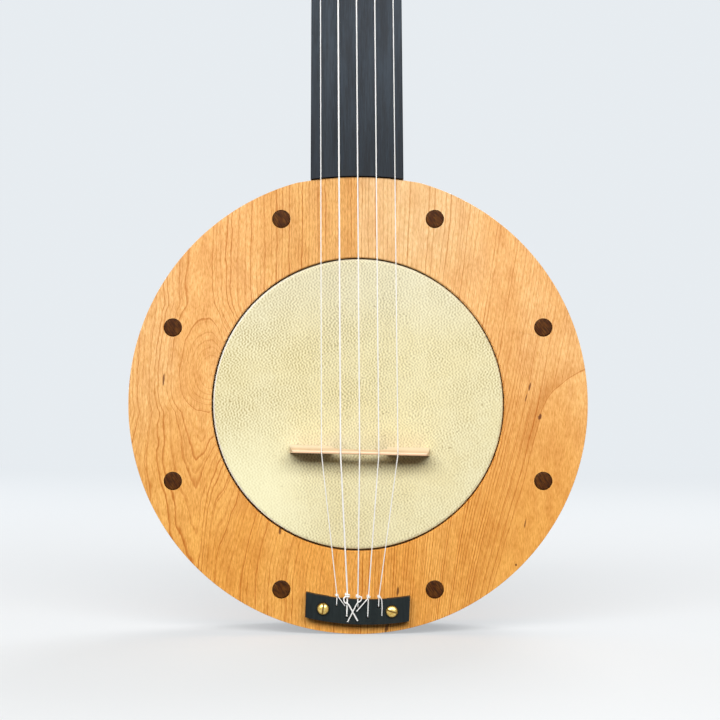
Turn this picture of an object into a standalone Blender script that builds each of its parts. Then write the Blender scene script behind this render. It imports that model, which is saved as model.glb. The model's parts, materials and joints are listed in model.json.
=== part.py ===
"""Open-back banjo with a pot of glued wooden rings, a skin head and five friction pegs.

Metres, +Z up along the neck, the head faces -Y. The origin lies on the flat back of the pot,
at its tail end, in the middle of the back ring's width.

Three working frames carry the pieces. In each, X runs to the right and Y towards the peghead:
the pot frame has its origin at the pot's middle with Z = 0 on the front ring's face, the neck
frame starts at the pot's edge with Z = 0 on the fingerboard, and the peghead frame starts behind
the nut with Z = 0 on the peghead's wood.
"""

import math

import bmesh
import bpy
import numpy as np
from mathutils import Matrix, Vector

MM = 0.001
GAP = 0.3 * MM  # kept between pieces that touch

# Pot: three rings, front to back
POT_RADIUS = 139.7 * MM
NECK_FLAT_RADIUS = 209.0 * MM  # flatter arc of the outline where the neck meets it
NECK_FLAT_DEPTH = 1.7 * MM  # how far that arc lies inside the circle
HEAD_OPENING_RADIUS = 88.9 * MM
BACK_OPENING_RADIUS = 82.5 * MM
CORE_WALL = 35.6 * MM
FRONT_RING_DEPTH = 12.7 * MM
CORE_RING_DEPTH = 38.1 * MM
BACK_RING_DEPTH = 9.5 * MM
RING_EDGE_ROUND = 1.6 * MM
OPENING_EDGE_ROUND = 0.8 * MM

# Head and the hoop that stretches it
HEAD_PROUD = 1.0 * MM
SKIN_THICKNESS = 0.6 * MM
SKIN_SHOULDER = 1.8 * MM
SKIN_SIDE_GAP = 0.7 * MM
SKIN_FLANGE_HOLD = 8.0 * MM  # how far the flange reaches in between front and core ring
HOOP_WALL = 2.5 * MM

# Stick through the pot
STICK_WIDTH = 25.0 * MM
STICK_DEPTH = 22.0 * MM
STICK_HEEL_TENON = 18.0 * MM
STICK_TAIL_TENON = 10.0 * MM
STICK_HOOP_ROOM = 1.0 * MM
STICK_EDGE = 0.8 * MM
END_SCREW_LENGTH = 48.0 * MM
END_SCREW_RADIUS = 2.4 * MM
END_SCREW_HEAD_RADIUS = 4.9 * MM
END_SCREW_SINK = 0.6 * MM

# Screws through the front ring, and the plugs over them
RING_SCREWS = 8
SCREW_CIRCLE_RADIUS = 121.9 * MM
PLUG_RADIUS = 5.3 * MM
PLUG_LENGTH = 5.5 * MM
PLUG_EDGE = 0.6 * MM
PLUG_EDGE_HEIGHT = 0.1 * MM  # the plug stands a little above the ring and drops at its edge
PLUG_EDGE_DROP = 0.2 * MM
RING_SCREW_LENGTH = 32.0 * MM
RING_SCREW_RADIUS = 2.1 * MM
RING_SCREW_HEAD_RADIUS = 4.3 * MM

# Neck and fingerboard
SCALE_LENGTH = 635.0 * MM
BACK_ANGLE = math.radians(2.2)
BOARD_PROUD = 2.0 * MM
BOARD_THICKNESS = 6.0 * MM
BOARD_WIDTH_AT_POT = 56.4 * MM
BOARD_MIDDLE_AT_POT = -0.6 * MM
NUT_WIDTH = 41.8 * MM
NUT_MIDDLE = 2.1 * MM
BOARD_EDGE = 0.6 * MM
BOARD_OVERRUN = 6.0 * MM  # made longer by this, then cut back to the pot's edge
BOARD_END_GAP = 0.8 * MM  # between its end and the pot
SHOULDER_STEP = 9.8 * MM
SHOULDER_LENGTH = 9.0 * MM
SHOULDER_START = 1.0 * MM  # past the fifth string's nut
NECK_DEPTH_AT_HEEL_END = 17.0 * MM
NECK_DEPTH_AT_NUT = 15.5 * MM
NECK_LIP = 2.5 * MM
NECK_ROUNDNESS = 2.3
HEEL_DEPTH = 50.0 * MM
HEEL_LENGTH = 85.0 * MM
HEEL_ROUNDNESS = 2.1
HEEL_OVERRUN = 8.0 * MM
THROAT_START = 30.0 * MM  # before the nut, where the back begins to flatten
THROAT_LENGTH = 45.0 * MM
THROAT_STATIONS = [before * MM for before in (24.0, 12.0, 2.0)]

# Nuts
NUT_THICKNESS = 5.5 * MM
NUT_ABOVE_BOARD = 1.9 * MM
NUT_EDGE = 0.5 * MM
STRING_AT_NUT = 1.6 * MM  # middle of a string above the board
FIFTH_NUT_RADIUS = 2.0 * MM
FIFTH_NUT_HEIGHT = 2.7 * MM
FIFTH_NUT_SEAT = 4.0 * MM
FIFTH_NUT_EDGE = 0.4 * MM
FIFTH_STRING_AT_NUT = 2.3 * MM
FIFTH_STRING_FALL = 1.0 * MM  # over the groove's reach, towards the side peg
FIFTH_MARGIN = 4.4 * MM  # from the fifth string to the board's edge
GROOVE_REACH = 4.0 * MM  # a groove's cutter passes the string's resting place by this

# Peghead
PEGHEAD_ANGLE = math.radians(12.0)
PEGHEAD_LENGTH = 146.0 * MM
PEGHEAD_WIDTH = 61.0 * MM
PEGHEAD_NARROWING = 4.0 * MM
PEGHEAD_DEPTH = 14.0 * MM
PEGHEAD_FLARE = 34.0 * MM
PEGHEAD_CROWN = 26.0 * MM
CROWN_ROUNDNESS = 2.6
CROWN_STATIONS = [math.radians(turn) for turn in (0, 18, 34, 48, 60, 70, 78, 84)]
PEGHEAD_SQUARENESS = 8.0
PEGHEAD_LIP = 0.6 * MM
BEND_LIP = 1.2 * MM
BEND_EXTRA_DEPTH = 0.8 * MM
OVERLAY_THICKNESS = 2.0 * MM

# Pegs
PEG_TIP_RADIUS = 3.3 * MM
PEG_TAPER = 1.0 / 60.0
PEG_STANDOFF = 4.0 * MM  # from the collar to the wood
PEG_EXPOSED = 14.7 * MM  # above the overlay
PEG_HOLE_FROM_TIP = 4.2 * MM
PEG_HOLE_RADIUS = 0.95 * MM
PEG_ACROSS = 35.0 * MM
PEG_FIRST_ROW = 44.0 * MM
PEG_ROW_SPACING = 48.0 * MM
PEG_COLLAR_RADIUS = 5.4 * MM
PEG_COLLAR_LENGTH = 3.0 * MM
PEG_GRIP_WIDTH = 23.0 * MM
PEG_GRIP_HEIGHT = 21.0 * MM
PEG_GRIP_THICKNESS = 7.5 * MM
PEG_GRIP_ROUND = 2.2 * MM
PEG_EDGE = 0.5 * MM
SIDE_PEG_HOLE_AT = 4.8 * MM  # from its collar
SIDE_PEG_FROM_NUT = 38.0 * MM
SIDE_PEG_BELOW_WOOD = 5.4 * MM
SIDE_PEG_SEAT = 17.0 * MM
SIDE_PEG_EXPOSED = 14.0 * MM
PEG_TURNS = [math.radians(turn) for turn in (0.0, 12.0, -20.0, 8.0, -9.0)]

# Bridge
BRIDGE_BELOW_MIDDLE = 29.0 * MM
BRIDGE_MIDDLE = 1.0 * MM
BRIDGE_TILT = math.radians(-1.3)
BRIDGE_HEIGHT = 16.0 * MM
BRIDGE_FOOT_LENGTH = 84.8 * MM
BRIDGE_TOP_LENGTH = 82.2 * MM
BRIDGE_CORNER = 2.2 * MM
BRIDGE_TOP_THICKNESS = 1.6 * MM
BRIDGE_FOOT_TO_NECK = 3.45 * MM
BRIDGE_FOOT_TO_TAIL = 1.55 * MM
BRIDGE_ARCH_WIDTH = 33.4 * MM
BRIDGE_ARCH_HEIGHT = 9.0 * MM
BRIDGE_ARCH_POWER = 0.4  # 1 makes half an oval, less makes upright sides and a flat top
BRIDGE_FOOT_RIM = 0.16 * BRIDGE_HEIGHT  # upright rim at the ends of the feet
BRIDGE_EDGE = 0.4 * MM

# Strings: fifth (drone), fourth, third, second, first
STRING_RADII = [radius * MM for radius in (0.3, 0.5, 0.4, 0.35, 0.3)]
BRIDGE_SPACING = 11.475 * MM
NUT_SPACING = 10.63 * MM
NUT_STRINGS_MIDDLE = 1.75 * MM
FIFTH_STRING_AT = -23.4 * MM
LEAST_TURNS = 2.5
TURN_GAP = 0.5 * MM
WIND_HEIGHT = 5.0 * MM  # above the overlay
STRING_END = 2.5 * MM
PEG_ENTRY_TURN = math.radians(12)  # before the cross hole, where the last turn bends into it
PEG_ENTRY_DEPTH = 1.2 * MM

# Tailpiece
TAILPIECE_AT = Vector((-0.4, -125.5, 0.0)) * MM
TAILPIECE_TILT = math.radians(-2.2)
TAILPIECE_LENGTH = 63.0 * MM
TAILPIECE_WIDTH = 15.1 * MM
TAILPIECE_THICKNESS = 6.0 * MM
TAILPIECE_CURVE_RADIUS = 162.0 * MM
TAILPIECE_RELIEF = 2.5 * MM
TAILPIECE_PAD = 14.0 * MM
TAILPIECE_EDGE = 0.9 * MM
TAIL_HOLE_SPACING = 6.35 * MM
TAIL_HOLE_ROW = 3.05 * MM
TAIL_HOLE_ROOM = 0.5 * MM
TAIL_SCREW_SPACING = 41.6 * MM
TAIL_SCREW_HEAD_RADIUS = 3.8 * MM
TAIL_SCREW_HEAD_HEIGHT = 2.8 * MM
TAIL_SCREW_RIM = 0.5 * MM
TAIL_SCREW_SLOT_WIDTH = 1.0 * MM
TAIL_SCREW_SLOT_FLOOR = 1.25 * MM  # above the strip
TAIL_SCREW_RADIUS = 2.1 * MM
TAIL_SCREW_LENGTH = 16.0 * MM
TAIL_SCREW_SLOTS = [math.radians(turn) for turn in (84.0, -15.0)]
KNOT_ABOVE_EDGE = 2.4 * MM
KNOT_TURNS = 1.5
KNOT_EXIT = Vector((0.3, 0.3, -0.4)) * MM  # how the free end leaves its last turn
EDGE_WRAP = 0.8 * MM  # between the strip's edge and the string round it
HOLE_BEND = 2.0 * MM
OVER_BEND = 1.2 * MM
FREE_ENDS = [  # from each string's hole to its free end
    Vector((4.0, -0.4, 0.6)) * MM,
    Vector((3.2, -2.6, 0.6)) * MM,
    Vector((3.0, -8.0, 0.6)) * MM,
    Vector((3.1, 1.5, 0.6)) * MM,
    Vector((2.8, -5.1, 0.6)) * MM,
]

# Fineness of the round shapes
RING_STEPS = 64
NECK_FLAT_STEPS = 8
SCREW_STEPS = 8
PLUG_STEPS = 16
PEG_STEPS = 12
GRIP_STEPS = 14
BRIDGE_CORNER_STEPS = 4
BRIDGE_ARCH_STEPS = 14
TURN_STEPS = 22
MERGE = 0.00001

# Heights in the pot frame
FRONT_RING_BACK = -FRONT_RING_DEPTH
CORE_FRONT = FRONT_RING_BACK - GAP
CORE_BACK = CORE_FRONT - CORE_RING_DEPTH
BACK_RING_FRONT = CORE_BACK - GAP
BACK_FACE = BACK_RING_FRONT - BACK_RING_DEPTH
CORE_INNER_RADIUS = POT_RADIUS - CORE_WALL
SKIN_OUTER_RADIUS = HEAD_OPENING_RADIUS - SKIN_SIDE_GAP
SKIN_FLANGE_RADIUS = CORE_INNER_RADIUS + SKIN_FLANGE_HOLD
STICK_MIDDLE = (CORE_FRONT + CORE_BACK) / 2
BRIDGE_FOOT_Z = HEAD_PROUD + GAP
TAILPIECE_TOP = GAP + TAILPIECE_THICKNESS

# Frames
POT_FRAME = Matrix.Translation((0, BACK_FACE, (POT_RADIUS + BACK_OPENING_RADIUS) / 2)) @ Matrix.Rotation(
    math.radians(90), 4, "X"
)
NECK_IN_POT = Matrix.Translation((0, POT_RADIUS - NECK_FLAT_DEPTH, BOARD_PROUD)) @ Matrix.Rotation(
    -BACK_ANGLE, 4, "X"
)
BRIDGE_IN_POT = Matrix.Translation((BRIDGE_MIDDLE, -BRIDGE_BELOW_MIDDLE, BRIDGE_FOOT_Z)) @ Matrix.Rotation(
    BRIDGE_TILT, 4, "Z"
)
TAILPIECE_IN_POT = Matrix.Translation(TAILPIECE_AT) @ Matrix.Rotation(TAILPIECE_TILT, 4, "Z")
BRIDGE_IN_NECK = NECK_IN_POT.inverted() @ BRIDGE_IN_POT @ Vector((0, 0, BRIDGE_HEIGHT))


def along_neck(string_length, height):
    """How far up the neck a string of this length, stopped at this height, ends."""
    rise = height - BRIDGE_IN_NECK.z
    return BRIDGE_IN_NECK.y + math.sqrt(string_length**2 - rise**2)


BOARD_LENGTH = along_neck(SCALE_LENGTH, STRING_AT_NUT)
FIFTH_NUT_Y = along_neck(SCALE_LENGTH / 2 ** (5 / 12), FIFTH_STRING_AT_NUT)
NECK_TOP = -BOARD_THICKNESS - GAP
SHOULDER_Y = FIFTH_NUT_Y + SHOULDER_START
NUT_START = BOARD_LENGTH + GAP
PEGHEAD_START = NUT_START + NUT_THICKNESS + GAP
SIDE_PEG_Y = FIFTH_NUT_Y + SIDE_PEG_FROM_NUT
SIDE_PEG_Z = NECK_TOP - SIDE_PEG_BELOW_WOOD
PEGHEAD_IN_NECK = Matrix.Translation((0, PEGHEAD_START, NECK_TOP)) @ Matrix.Rotation(
    -PEGHEAD_ANGLE, 4, "X"
)
OVERLAY_TOP = GAP + OVERLAY_THICKNESS
PEG_LENGTH = PEG_STANDOFF + PEGHEAD_DEPTH + OVERLAY_TOP + PEG_EXPOSED
SIDE_PEG_LENGTH = SIDE_PEG_EXPOSED + SIDE_PEG_SEAT


def smooth_step(share):
    share = min(max(share, 0.0), 1.0)
    return share * share * (3 - 2 * share)


def between(low, high, share):
    return low + (high - low) * share


def treble_edge(y):
    start = BOARD_MIDDLE_AT_POT + BOARD_WIDTH_AT_POT / 2
    end = NUT_MIDDLE + NUT_WIDTH / 2
    return between(start, end, y / BOARD_LENGTH)


def bass_edge(y):
    """Left edge of the board: the wide stretch under five strings, a shoulder, then four."""
    at_pot = BOARD_MIDDLE_AT_POT - BOARD_WIDTH_AT_POT / 2
    at_fifth = FIFTH_STRING_AT - FIFTH_MARGIN
    at_nut = NUT_MIDDLE - NUT_WIDTH / 2
    wide = between(at_pot, at_fifth, y / FIFTH_NUT_Y)
    past = (y - FIFTH_NUT_Y) / (BOARD_LENGTH - FIFTH_NUT_Y)
    narrow = between(at_fifth + SHOULDER_STEP, at_nut, past)
    return between(wide, narrow, smooth_step((y - SHOULDER_Y) / SHOULDER_LENGTH))


def peghead_half_width(y):
    flare = smooth_step(y / PEGHEAD_FLARE)
    past = max(0.0, y - PEGHEAD_FLARE) / (PEGHEAD_LENGTH - PEGHEAD_FLARE)
    half = between(NUT_WIDTH, PEGHEAD_WIDTH, flare) / 2 - PEGHEAD_NARROWING / 2 * past
    crown = max(0.0, (y - PEGHEAD_LENGTH + PEGHEAD_CROWN) / PEGHEAD_CROWN)
    return half * (1 - min(crown, 1.0) ** CROWN_ROUNDNESS) ** (1 / CROWN_ROUNDNESS)


def peghead_stations():
    """Distances along the peghead, closer together where its outline turns."""
    flare = [PEGHEAD_FLARE * step / 6 for step in range(1, 7)]
    crown_start = PEGHEAD_LENGTH - PEGHEAD_CROWN
    middle = [between(PEGHEAD_FLARE, crown_start, 0.5)]
    crown = [crown_start + PEGHEAD_CROWN * math.sin(turn) for turn in CROWN_STATIONS]
    return flare + middle + crown


# Scene, materials and shapes


def empty_scene():
    for obj in list(bpy.data.objects):
        bpy.data.objects.remove(obj, do_unlink=True)


def new_collection(name):
    made = bpy.data.collections.new(name)
    bpy.context.scene.collection.children.link(made)
    return made


empty_scene()
PARTS = new_collection("open_back_banjo")
CUTTERS = new_collection("cutters")


def material(name, colour, roughness, metallic=0.0):
    made = bpy.data.materials.new(name)
    made.use_nodes = True
    shader = made.node_tree.nodes["Principled BSDF"]
    shader.inputs["Base Color"].default_value = (*colour, 1.0)
    shader.inputs["Roughness"].default_value = roughness
    shader.inputs["Metallic"].default_value = metallic
    made.diffuse_color = (*colour, 1.0)
    return made


CHERRY = material("cherry", (0.82, 0.42, 0.14), 0.38)
WALNUT = material("walnut", (0.12, 0.05, 0.02), 0.45)
EBONY = material("ebony", (0.045, 0.05, 0.055), 0.42)
MAPLE = material("maple", (0.88, 0.72, 0.46), 0.5)
ROSEWOOD = material("rosewood", (0.1, 0.035, 0.02), 0.35)
SKIN = material("skin", (0.83, 0.78, 0.6), 0.6)
BONE = material("bone", (0.85, 0.8, 0.66), 0.4)
BRASS = material("brass", (0.78, 0.55, 0.2), 0.3, 1.0)
STEEL = material("steel", (0.5, 0.5, 0.5), 0.35, 1.0)
NYLON = material("nylon", (0.88, 0.88, 0.85), 0.35)


def frame_empty(name, parent, matrix):
    made = bpy.data.objects.new(name, None)
    PARTS.objects.link(made)
    made.parent = parent
    made.matrix_basis = matrix
    return made


POT = frame_empty("pot_frame", None, POT_FRAME)
NECK = frame_empty("neck_frame", POT, NECK_IN_POT)
PEGHEAD = frame_empty("peghead_frame", NECK, PEGHEAD_IN_NECK)
BRIDGE = frame_empty("bridge_frame", POT, BRIDGE_IN_POT)
TAILPIECE = frame_empty("tailpiece_frame", POT, TAILPIECE_IN_POT)


def add_object(name, data, frame, matrix=None, finish=None):
    """A piece in one of the frames, or with no finish a cutter that a render leaves out."""
    made = bpy.data.objects.new(name, data)
    made.parent = frame
    if matrix is not None:
        made.matrix_basis = matrix
    if finish is None:
        CUTTERS.objects.link(made)
        made.hide_render = True
        made.display_type = "WIRE"
        return made
    PARTS.objects.link(made)
    if not data.materials:
        data.materials.append(finish)
    return made


def mesh_of(obj):
    """The object's evaluated shape as a closed mesh of its own."""
    graph = bpy.context.evaluated_depsgraph_get()
    mesh = bpy.data.meshes.new_from_object(obj.evaluated_get(graph))
    shape = bmesh.new()
    shape.from_mesh(mesh)
    bmesh.ops.remove_doubles(shape, verts=shape.verts, dist=MERGE)
    bmesh.ops.recalc_face_normals(shape, faces=shape.faces)
    shape.to_mesh(mesh)
    shape.free()
    return mesh


def settled(obj):
    """Replaces an object's curve or modifiers by the mesh that they make."""
    data = mesh_of(obj)
    name, frame, matrix = obj.name, obj.parent, obj.matrix_basis.copy()
    shown = not obj.hide_render
    finish = data.materials[0] if shown and data.materials else None
    bpy.data.objects.remove(obj)
    data.name = name
    return add_object(name, data, frame, matrix, finish)


def plate(name, outlines, low, high, frame, finish=None):
    """A flat piece from closed outlines, filled and extruded from low to high along Z."""
    curve = bpy.data.curves.new(name, "CURVE")
    curve.dimensions = "2D"
    curve.fill_mode = "BOTH"
    curve.extrude = (high - low) / 2
    for outline in outlines:
        spline = curve.splines.new("POLY")
        spline.points.add(len(outline) - 1)
        for point, (x, y) in zip(spline.points, outline):
            point.co = (x, y, 0, 1)
        spline.use_cyclic_u = True
    if finish is not None:
        curve.materials.append(finish)
    made = add_object(name, curve, frame, Matrix.Translation((0, 0, (low + high) / 2)), finish)
    made = settled(made)
    made.data.transform(made.matrix_basis)
    made.matrix_basis = Matrix.Identity(4)
    return made


def turned(name, profile, steps, frame, matrix=None, finish=None):
    """A piece turned about its Z axis, from a profile that runs down its outer side."""
    mesh = bpy.data.meshes.new(name)
    edges = [(step, step + 1) for step in range(len(profile) - 1)]
    mesh.from_pydata([(radius, 0, height) for radius, height in profile], edges, [])
    if finish is not None:
        mesh.materials.append(finish)
    made = add_object(name, mesh, frame, matrix, finish)
    screw = made.modifiers.new("turn", "SCREW")
    screw.steps = steps
    screw.render_steps = steps
    screw.use_merge_vertices = True
    screw.merge_threshold = MERGE
    screw.use_normal_calculate = True
    return settled(made)


def block(name, low, high, frame, finish=None):
    """A box between two corners."""
    mesh = bpy.data.meshes.new(name)
    shape = bmesh.new()
    bmesh.ops.create_cube(shape, size=1)
    size = Vector(high) - Vector(low)
    middle = (Vector(high) + Vector(low)) / 2
    place = Matrix.Translation(middle) @ Matrix.Diagonal((*size, 1))
    bmesh.ops.transform(shape, matrix=place, verts=shape.verts)
    shape.to_mesh(mesh)
    shape.free()
    return add_object(name, mesh, frame, None, finish)


def rod(name, start, end, radius, steps, frame):
    """A round cutter from one point to another."""
    way = Vector(end) - Vector(start)
    turn = way.to_track_quat("Z", "Y").to_matrix().to_4x4()
    place = Matrix.Translation(start) @ turn
    profile = [(0, way.length), (radius, way.length), (radius, 0), (0, 0)]
    return turned(name, profile, steps, frame, place)


def combine(target, cutters, operation="DIFFERENCE"):
    """Cuts the target with the cutters, or joins them to it, and keeps the result as its mesh."""
    for cutter in cutters:
        boolean = target.modifiers.new(cutter.name, "BOOLEAN")
        boolean.operation = operation
        boolean.solver = "EXACT"
        boolean.object = cutter
    made = settled(target)
    for cutter in cutters:
        bpy.data.objects.remove(cutter)
    return made


def round_edges(obj, width, segments, chosen):
    """Rounds the sharp edges whose middle the chosen test accepts."""
    shape = bmesh.new()
    shape.from_mesh(obj.data)
    edges = []
    for edge in shape.edges:
        sharp = edge.is_manifold and edge.calc_face_angle() > math.radians(40)
        if sharp and chosen((edge.verts[0].co + edge.verts[1].co) / 2):
            edges.append(edge)
    bmesh.ops.bevel(
        shape, geom=edges, offset=width, segments=segments, profile=0.5, affect="EDGES", clamp_overlap=True
    )
    shape.to_mesh(obj.data)
    shape.free()


def shade(obj, angle=35):
    obj.data.shade_smooth()
    obj.data.set_sharp_from_angle(angle=math.radians(angle))


# Outlines


def arc(centre, radius, start, end, steps):
    """Points of an arc round a centre, both ends included."""
    points = []
    for step in range(steps + 1):
        turn = between(start, end, step / steps)
        points.append((centre[0] + radius * math.cos(turn), centre[1] + radius * math.sin(turn)))
    return points


def circle(radius, steps):
    return arc((0, 0), radius, 0, 2 * math.pi, steps)[:-1]


def pot_outline(offset=0.0):
    """The pot's outline: a circle with a flatter arc where the neck meets it."""
    radius = POT_RADIUS + offset
    flat = NECK_FLAT_RADIUS + offset
    drop = NECK_FLAT_RADIUS - POT_RADIUS + NECK_FLAT_DEPTH
    corner_y = (flat**2 - radius**2 - drop**2) / (2 * drop)
    corner_x = math.sqrt(radius**2 - corner_y**2)
    flat_turn = math.asin(corner_x / flat)
    turn = math.asin(corner_x / radius)
    quarter = math.pi / 2
    over = arc((0, -drop), flat, quarter - flat_turn, quarter + flat_turn, NECK_FLAT_STEPS)
    round_steps = RING_STEPS - NECK_FLAT_STEPS
    round_part = arc((0, 0), radius, quarter + turn, quarter - turn + 2 * math.pi, round_steps)
    return over + round_part[1:-1]


# Pot


def screw_angles():
    return [math.tau * (place + 0.5) / RING_SCREWS for place in range(RING_SCREWS)]


def screw_places():
    """Where the ring screws stand, clockwise from the neck."""
    radius = SCREW_CIRCLE_RADIUS
    spots = [(radius * math.sin(turn), radius * math.cos(turn), 0) for turn in screw_angles()]
    return [Matrix.Translation(spot) for spot in spots]


def screw_profile(radius, head_radius, length, extra=0.0):
    """A countersunk screw, head at Z = 0 and point down. Extra widens it into its hole."""
    head = head_radius - radius
    point = radius * 2
    return [
        (0, 0),
        (head_radius + extra, 0),
        (radius + extra, -head),
        (radius + extra, extra - length + point),
        (0.2 * radius + extra, -length),
        (0, -length - extra),
    ]


def ring_screw_hole(name, place):
    """Counterbore for the plug, cone for the head and hole for the shank, down to the point."""
    floor = -PLUG_LENGTH - GAP
    screw = screw_profile(RING_SCREW_RADIUS, RING_SCREW_HEAD_RADIUS, RING_SCREW_LENGTH, GAP)
    profile = [(0, GAP), (PLUG_RADIUS + GAP, GAP), (PLUG_RADIUS + GAP, floor)]
    profile += [(radius, height + floor) for radius, height in screw[1:]]
    return turned(name, profile, PLUG_STEPS, POT, place)


def core_pilot(name, place):
    """The ring screw's hole in the core, down to its point."""
    floor = -PLUG_LENGTH - GAP
    screw = screw_profile(RING_SCREW_RADIUS, RING_SCREW_HEAD_RADIUS, RING_SCREW_LENGTH, GAP)
    profile = [(0, 0), (RING_SCREW_RADIUS + GAP, 0)]
    profile += [(radius, height + floor) for radius, height in screw[3:]]
    return turned(name, profile, SCREW_STEPS, POT, place)


def front_ring():
    opening = circle(HEAD_OPENING_RADIUS, RING_STEPS - 8)
    made = plate("front_ring", [pot_outline(), opening], FRONT_RING_BACK, 0, POT, CHERRY)
    middle = (HEAD_OPENING_RADIUS + POT_RADIUS) / 2
    round_edges(made, RING_EDGE_ROUND, 2, lambda at: at.z > -MERGE and at.xy.length > middle)
    round_edges(made, OPENING_EDGE_ROUND, 1, lambda at: at.z > -MERGE and at.xy.length < middle)
    pilots = []
    for side, place in tail_screw_places():
        name = f"tail_pilot_{side}"
        depth = GAP + TAIL_SCREW_LENGTH - TAILPIECE_TOP
        profile = [(0, GAP), (TAIL_SCREW_RADIUS + GAP, GAP), (TAIL_SCREW_RADIUS + GAP, -depth), (0, -depth)]
        pilots.append(turned(name, profile, SCREW_STEPS, TAILPIECE, place))
    holes = [ring_screw_hole(f"screw_hole_{at}", place) for at, place in enumerate(screw_places(), 1)]
    shade(combine(made, holes + pilots))


def core_ring():
    opening = circle(CORE_INNER_RADIUS, RING_STEPS - 16)
    made = plate("core_ring", [pot_outline(), opening], CORE_BACK, CORE_FRONT, POT, CHERRY)
    rebate_floor = CORE_FRONT - SKIN_THICKNESS - GAP
    rebate = turned(
        "skin_rebate",
        [
            (0, CORE_FRONT + GAP),
            (SKIN_FLANGE_RADIUS + GAP, CORE_FRONT + GAP),
            (SKIN_FLANGE_RADIUS + GAP, rebate_floor),
            (0, rebate_floor),
        ],
        RING_STEPS - 8,
        POT,
    )
    half = STICK_WIDTH / 2 + GAP
    low = STICK_MIDDLE - STICK_DEPTH / 2 - GAP
    high = STICK_MIDDLE + STICK_DEPTH / 2 + GAP
    tail_end = -CORE_INNER_RADIUS - STICK_TAIL_TENON - GAP
    mortise = block("stick_mortise", (-half, tail_end, low), (half, POT_RADIUS + CORE_WALL, high), POT)
    holes = [core_pilot(f"core_pilot_{at}", place) for at, place in enumerate(screw_places(), 1)]
    shade(combine(made, [rebate, mortise, end_screw_hole("core_end_hole")] + holes))


def back_ring():
    opening = circle(BACK_OPENING_RADIUS, RING_STEPS - 16)
    made = plate("back_ring", [pot_outline(), opening], BACK_FACE, BACK_RING_FRONT, POT, CHERRY)
    round_edges(made, RING_EDGE_ROUND, 2, lambda at: at.z < BACK_FACE + MERGE)
    shade(made)


def plugs_and_screws():
    plug_profile = [
        (0, PLUG_EDGE_HEIGHT),
        (PLUG_RADIUS - PLUG_EDGE, PLUG_EDGE_HEIGHT),
        (PLUG_RADIUS, -PLUG_EDGE_DROP),
        (PLUG_RADIUS, -PLUG_LENGTH),
        (0, -PLUG_LENGTH),
    ]
    head_top = Matrix.Translation((0, 0, -PLUG_LENGTH - GAP))
    screw = screw_profile(RING_SCREW_RADIUS, RING_SCREW_HEAD_RADIUS, RING_SCREW_LENGTH)
    for at, place in enumerate(screw_places(), 1):
        shade(turned(f"plug_{at}", plug_profile, PLUG_STEPS, POT, place, WALNUT))
        shade(turned(f"ring_screw_{at}", screw, SCREW_STEPS, POT, place @ head_top, STEEL))


# Head, hoop and stick


def quarter_turn(radius, middle_radius, middle_height, steps=2):
    """Points of a shoulder from its top round to its side."""
    points = []
    for step in range(steps + 1):
        turn = math.pi / 2 * (1 - step / steps)
        points.append((middle_radius + radius * math.cos(turn), middle_height + radius * math.sin(turn)))
    return points


def head_skin():
    middle_radius = SKIN_OUTER_RADIUS - SKIN_SHOULDER
    middle_height = HEAD_PROUD - SKIN_SHOULDER
    flange_top = FRONT_RING_BACK - GAP
    flange_bottom = flange_top - SKIN_THICKNESS
    inner = quarter_turn(SKIN_SHOULDER - SKIN_THICKNESS, middle_radius, middle_height)
    profile = [(0, HEAD_PROUD)]
    profile += quarter_turn(SKIN_SHOULDER, middle_radius, middle_height)
    profile += [(SKIN_OUTER_RADIUS, flange_top), (SKIN_FLANGE_RADIUS, flange_top)]
    profile += [(SKIN_FLANGE_RADIUS, flange_bottom), (SKIN_OUTER_RADIUS - SKIN_THICKNESS, flange_bottom)]
    profile += inner[::-1]
    profile += [(0, HEAD_PROUD - SKIN_THICKNESS)]
    shade(turned("head_skin", profile, RING_STEPS - 8, POT, None, SKIN))


def tone_hoop():
    round_radius = SKIN_SHOULDER - SKIN_THICKNESS - GAP
    outer = SKIN_OUTER_RADIUS - SKIN_THICKNESS - GAP
    foot = BACK_RING_FRONT + GAP
    middle_height = HEAD_PROUD - SKIN_SHOULDER
    top = middle_height + round_radius
    profile = [(outer - HOOP_WALL, top)]
    profile += quarter_turn(round_radius, outer - round_radius, middle_height)
    profile += [(outer, foot), (outer - HOOP_WALL, foot), (outer - HOOP_WALL, top)]
    made = turned("tone_hoop", profile, RING_STEPS - 8, POT, None, STEEL)
    half = STICK_WIDTH / 2 + STICK_HOOP_ROOM
    high = STICK_MIDDLE + STICK_DEPTH / 2 + STICK_HOOP_ROOM
    notch = block("stick_notch", (-half, -POT_RADIUS, foot - GAP), (half, POT_RADIUS, high), POT)
    shade(combine(made, [notch]))


def end_screw_place():
    """The screw's frame: its head sunk in the pot's tail end, its point towards the neck."""
    turn = Matrix.Rotation(math.radians(90), 4, "X")
    return Matrix.Translation((0, -POT_RADIUS + END_SCREW_SINK, STICK_MIDDLE)) @ turn


def end_screw_hole(name):
    screw = screw_profile(END_SCREW_RADIUS, END_SCREW_HEAD_RADIUS, END_SCREW_LENGTH, GAP)
    mouth = END_SCREW_SINK + GAP
    profile = [(0, mouth), (END_SCREW_HEAD_RADIUS + GAP, mouth)] + screw[1:]
    return turned(name, profile, SCREW_STEPS, POT, end_screw_place())


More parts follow.
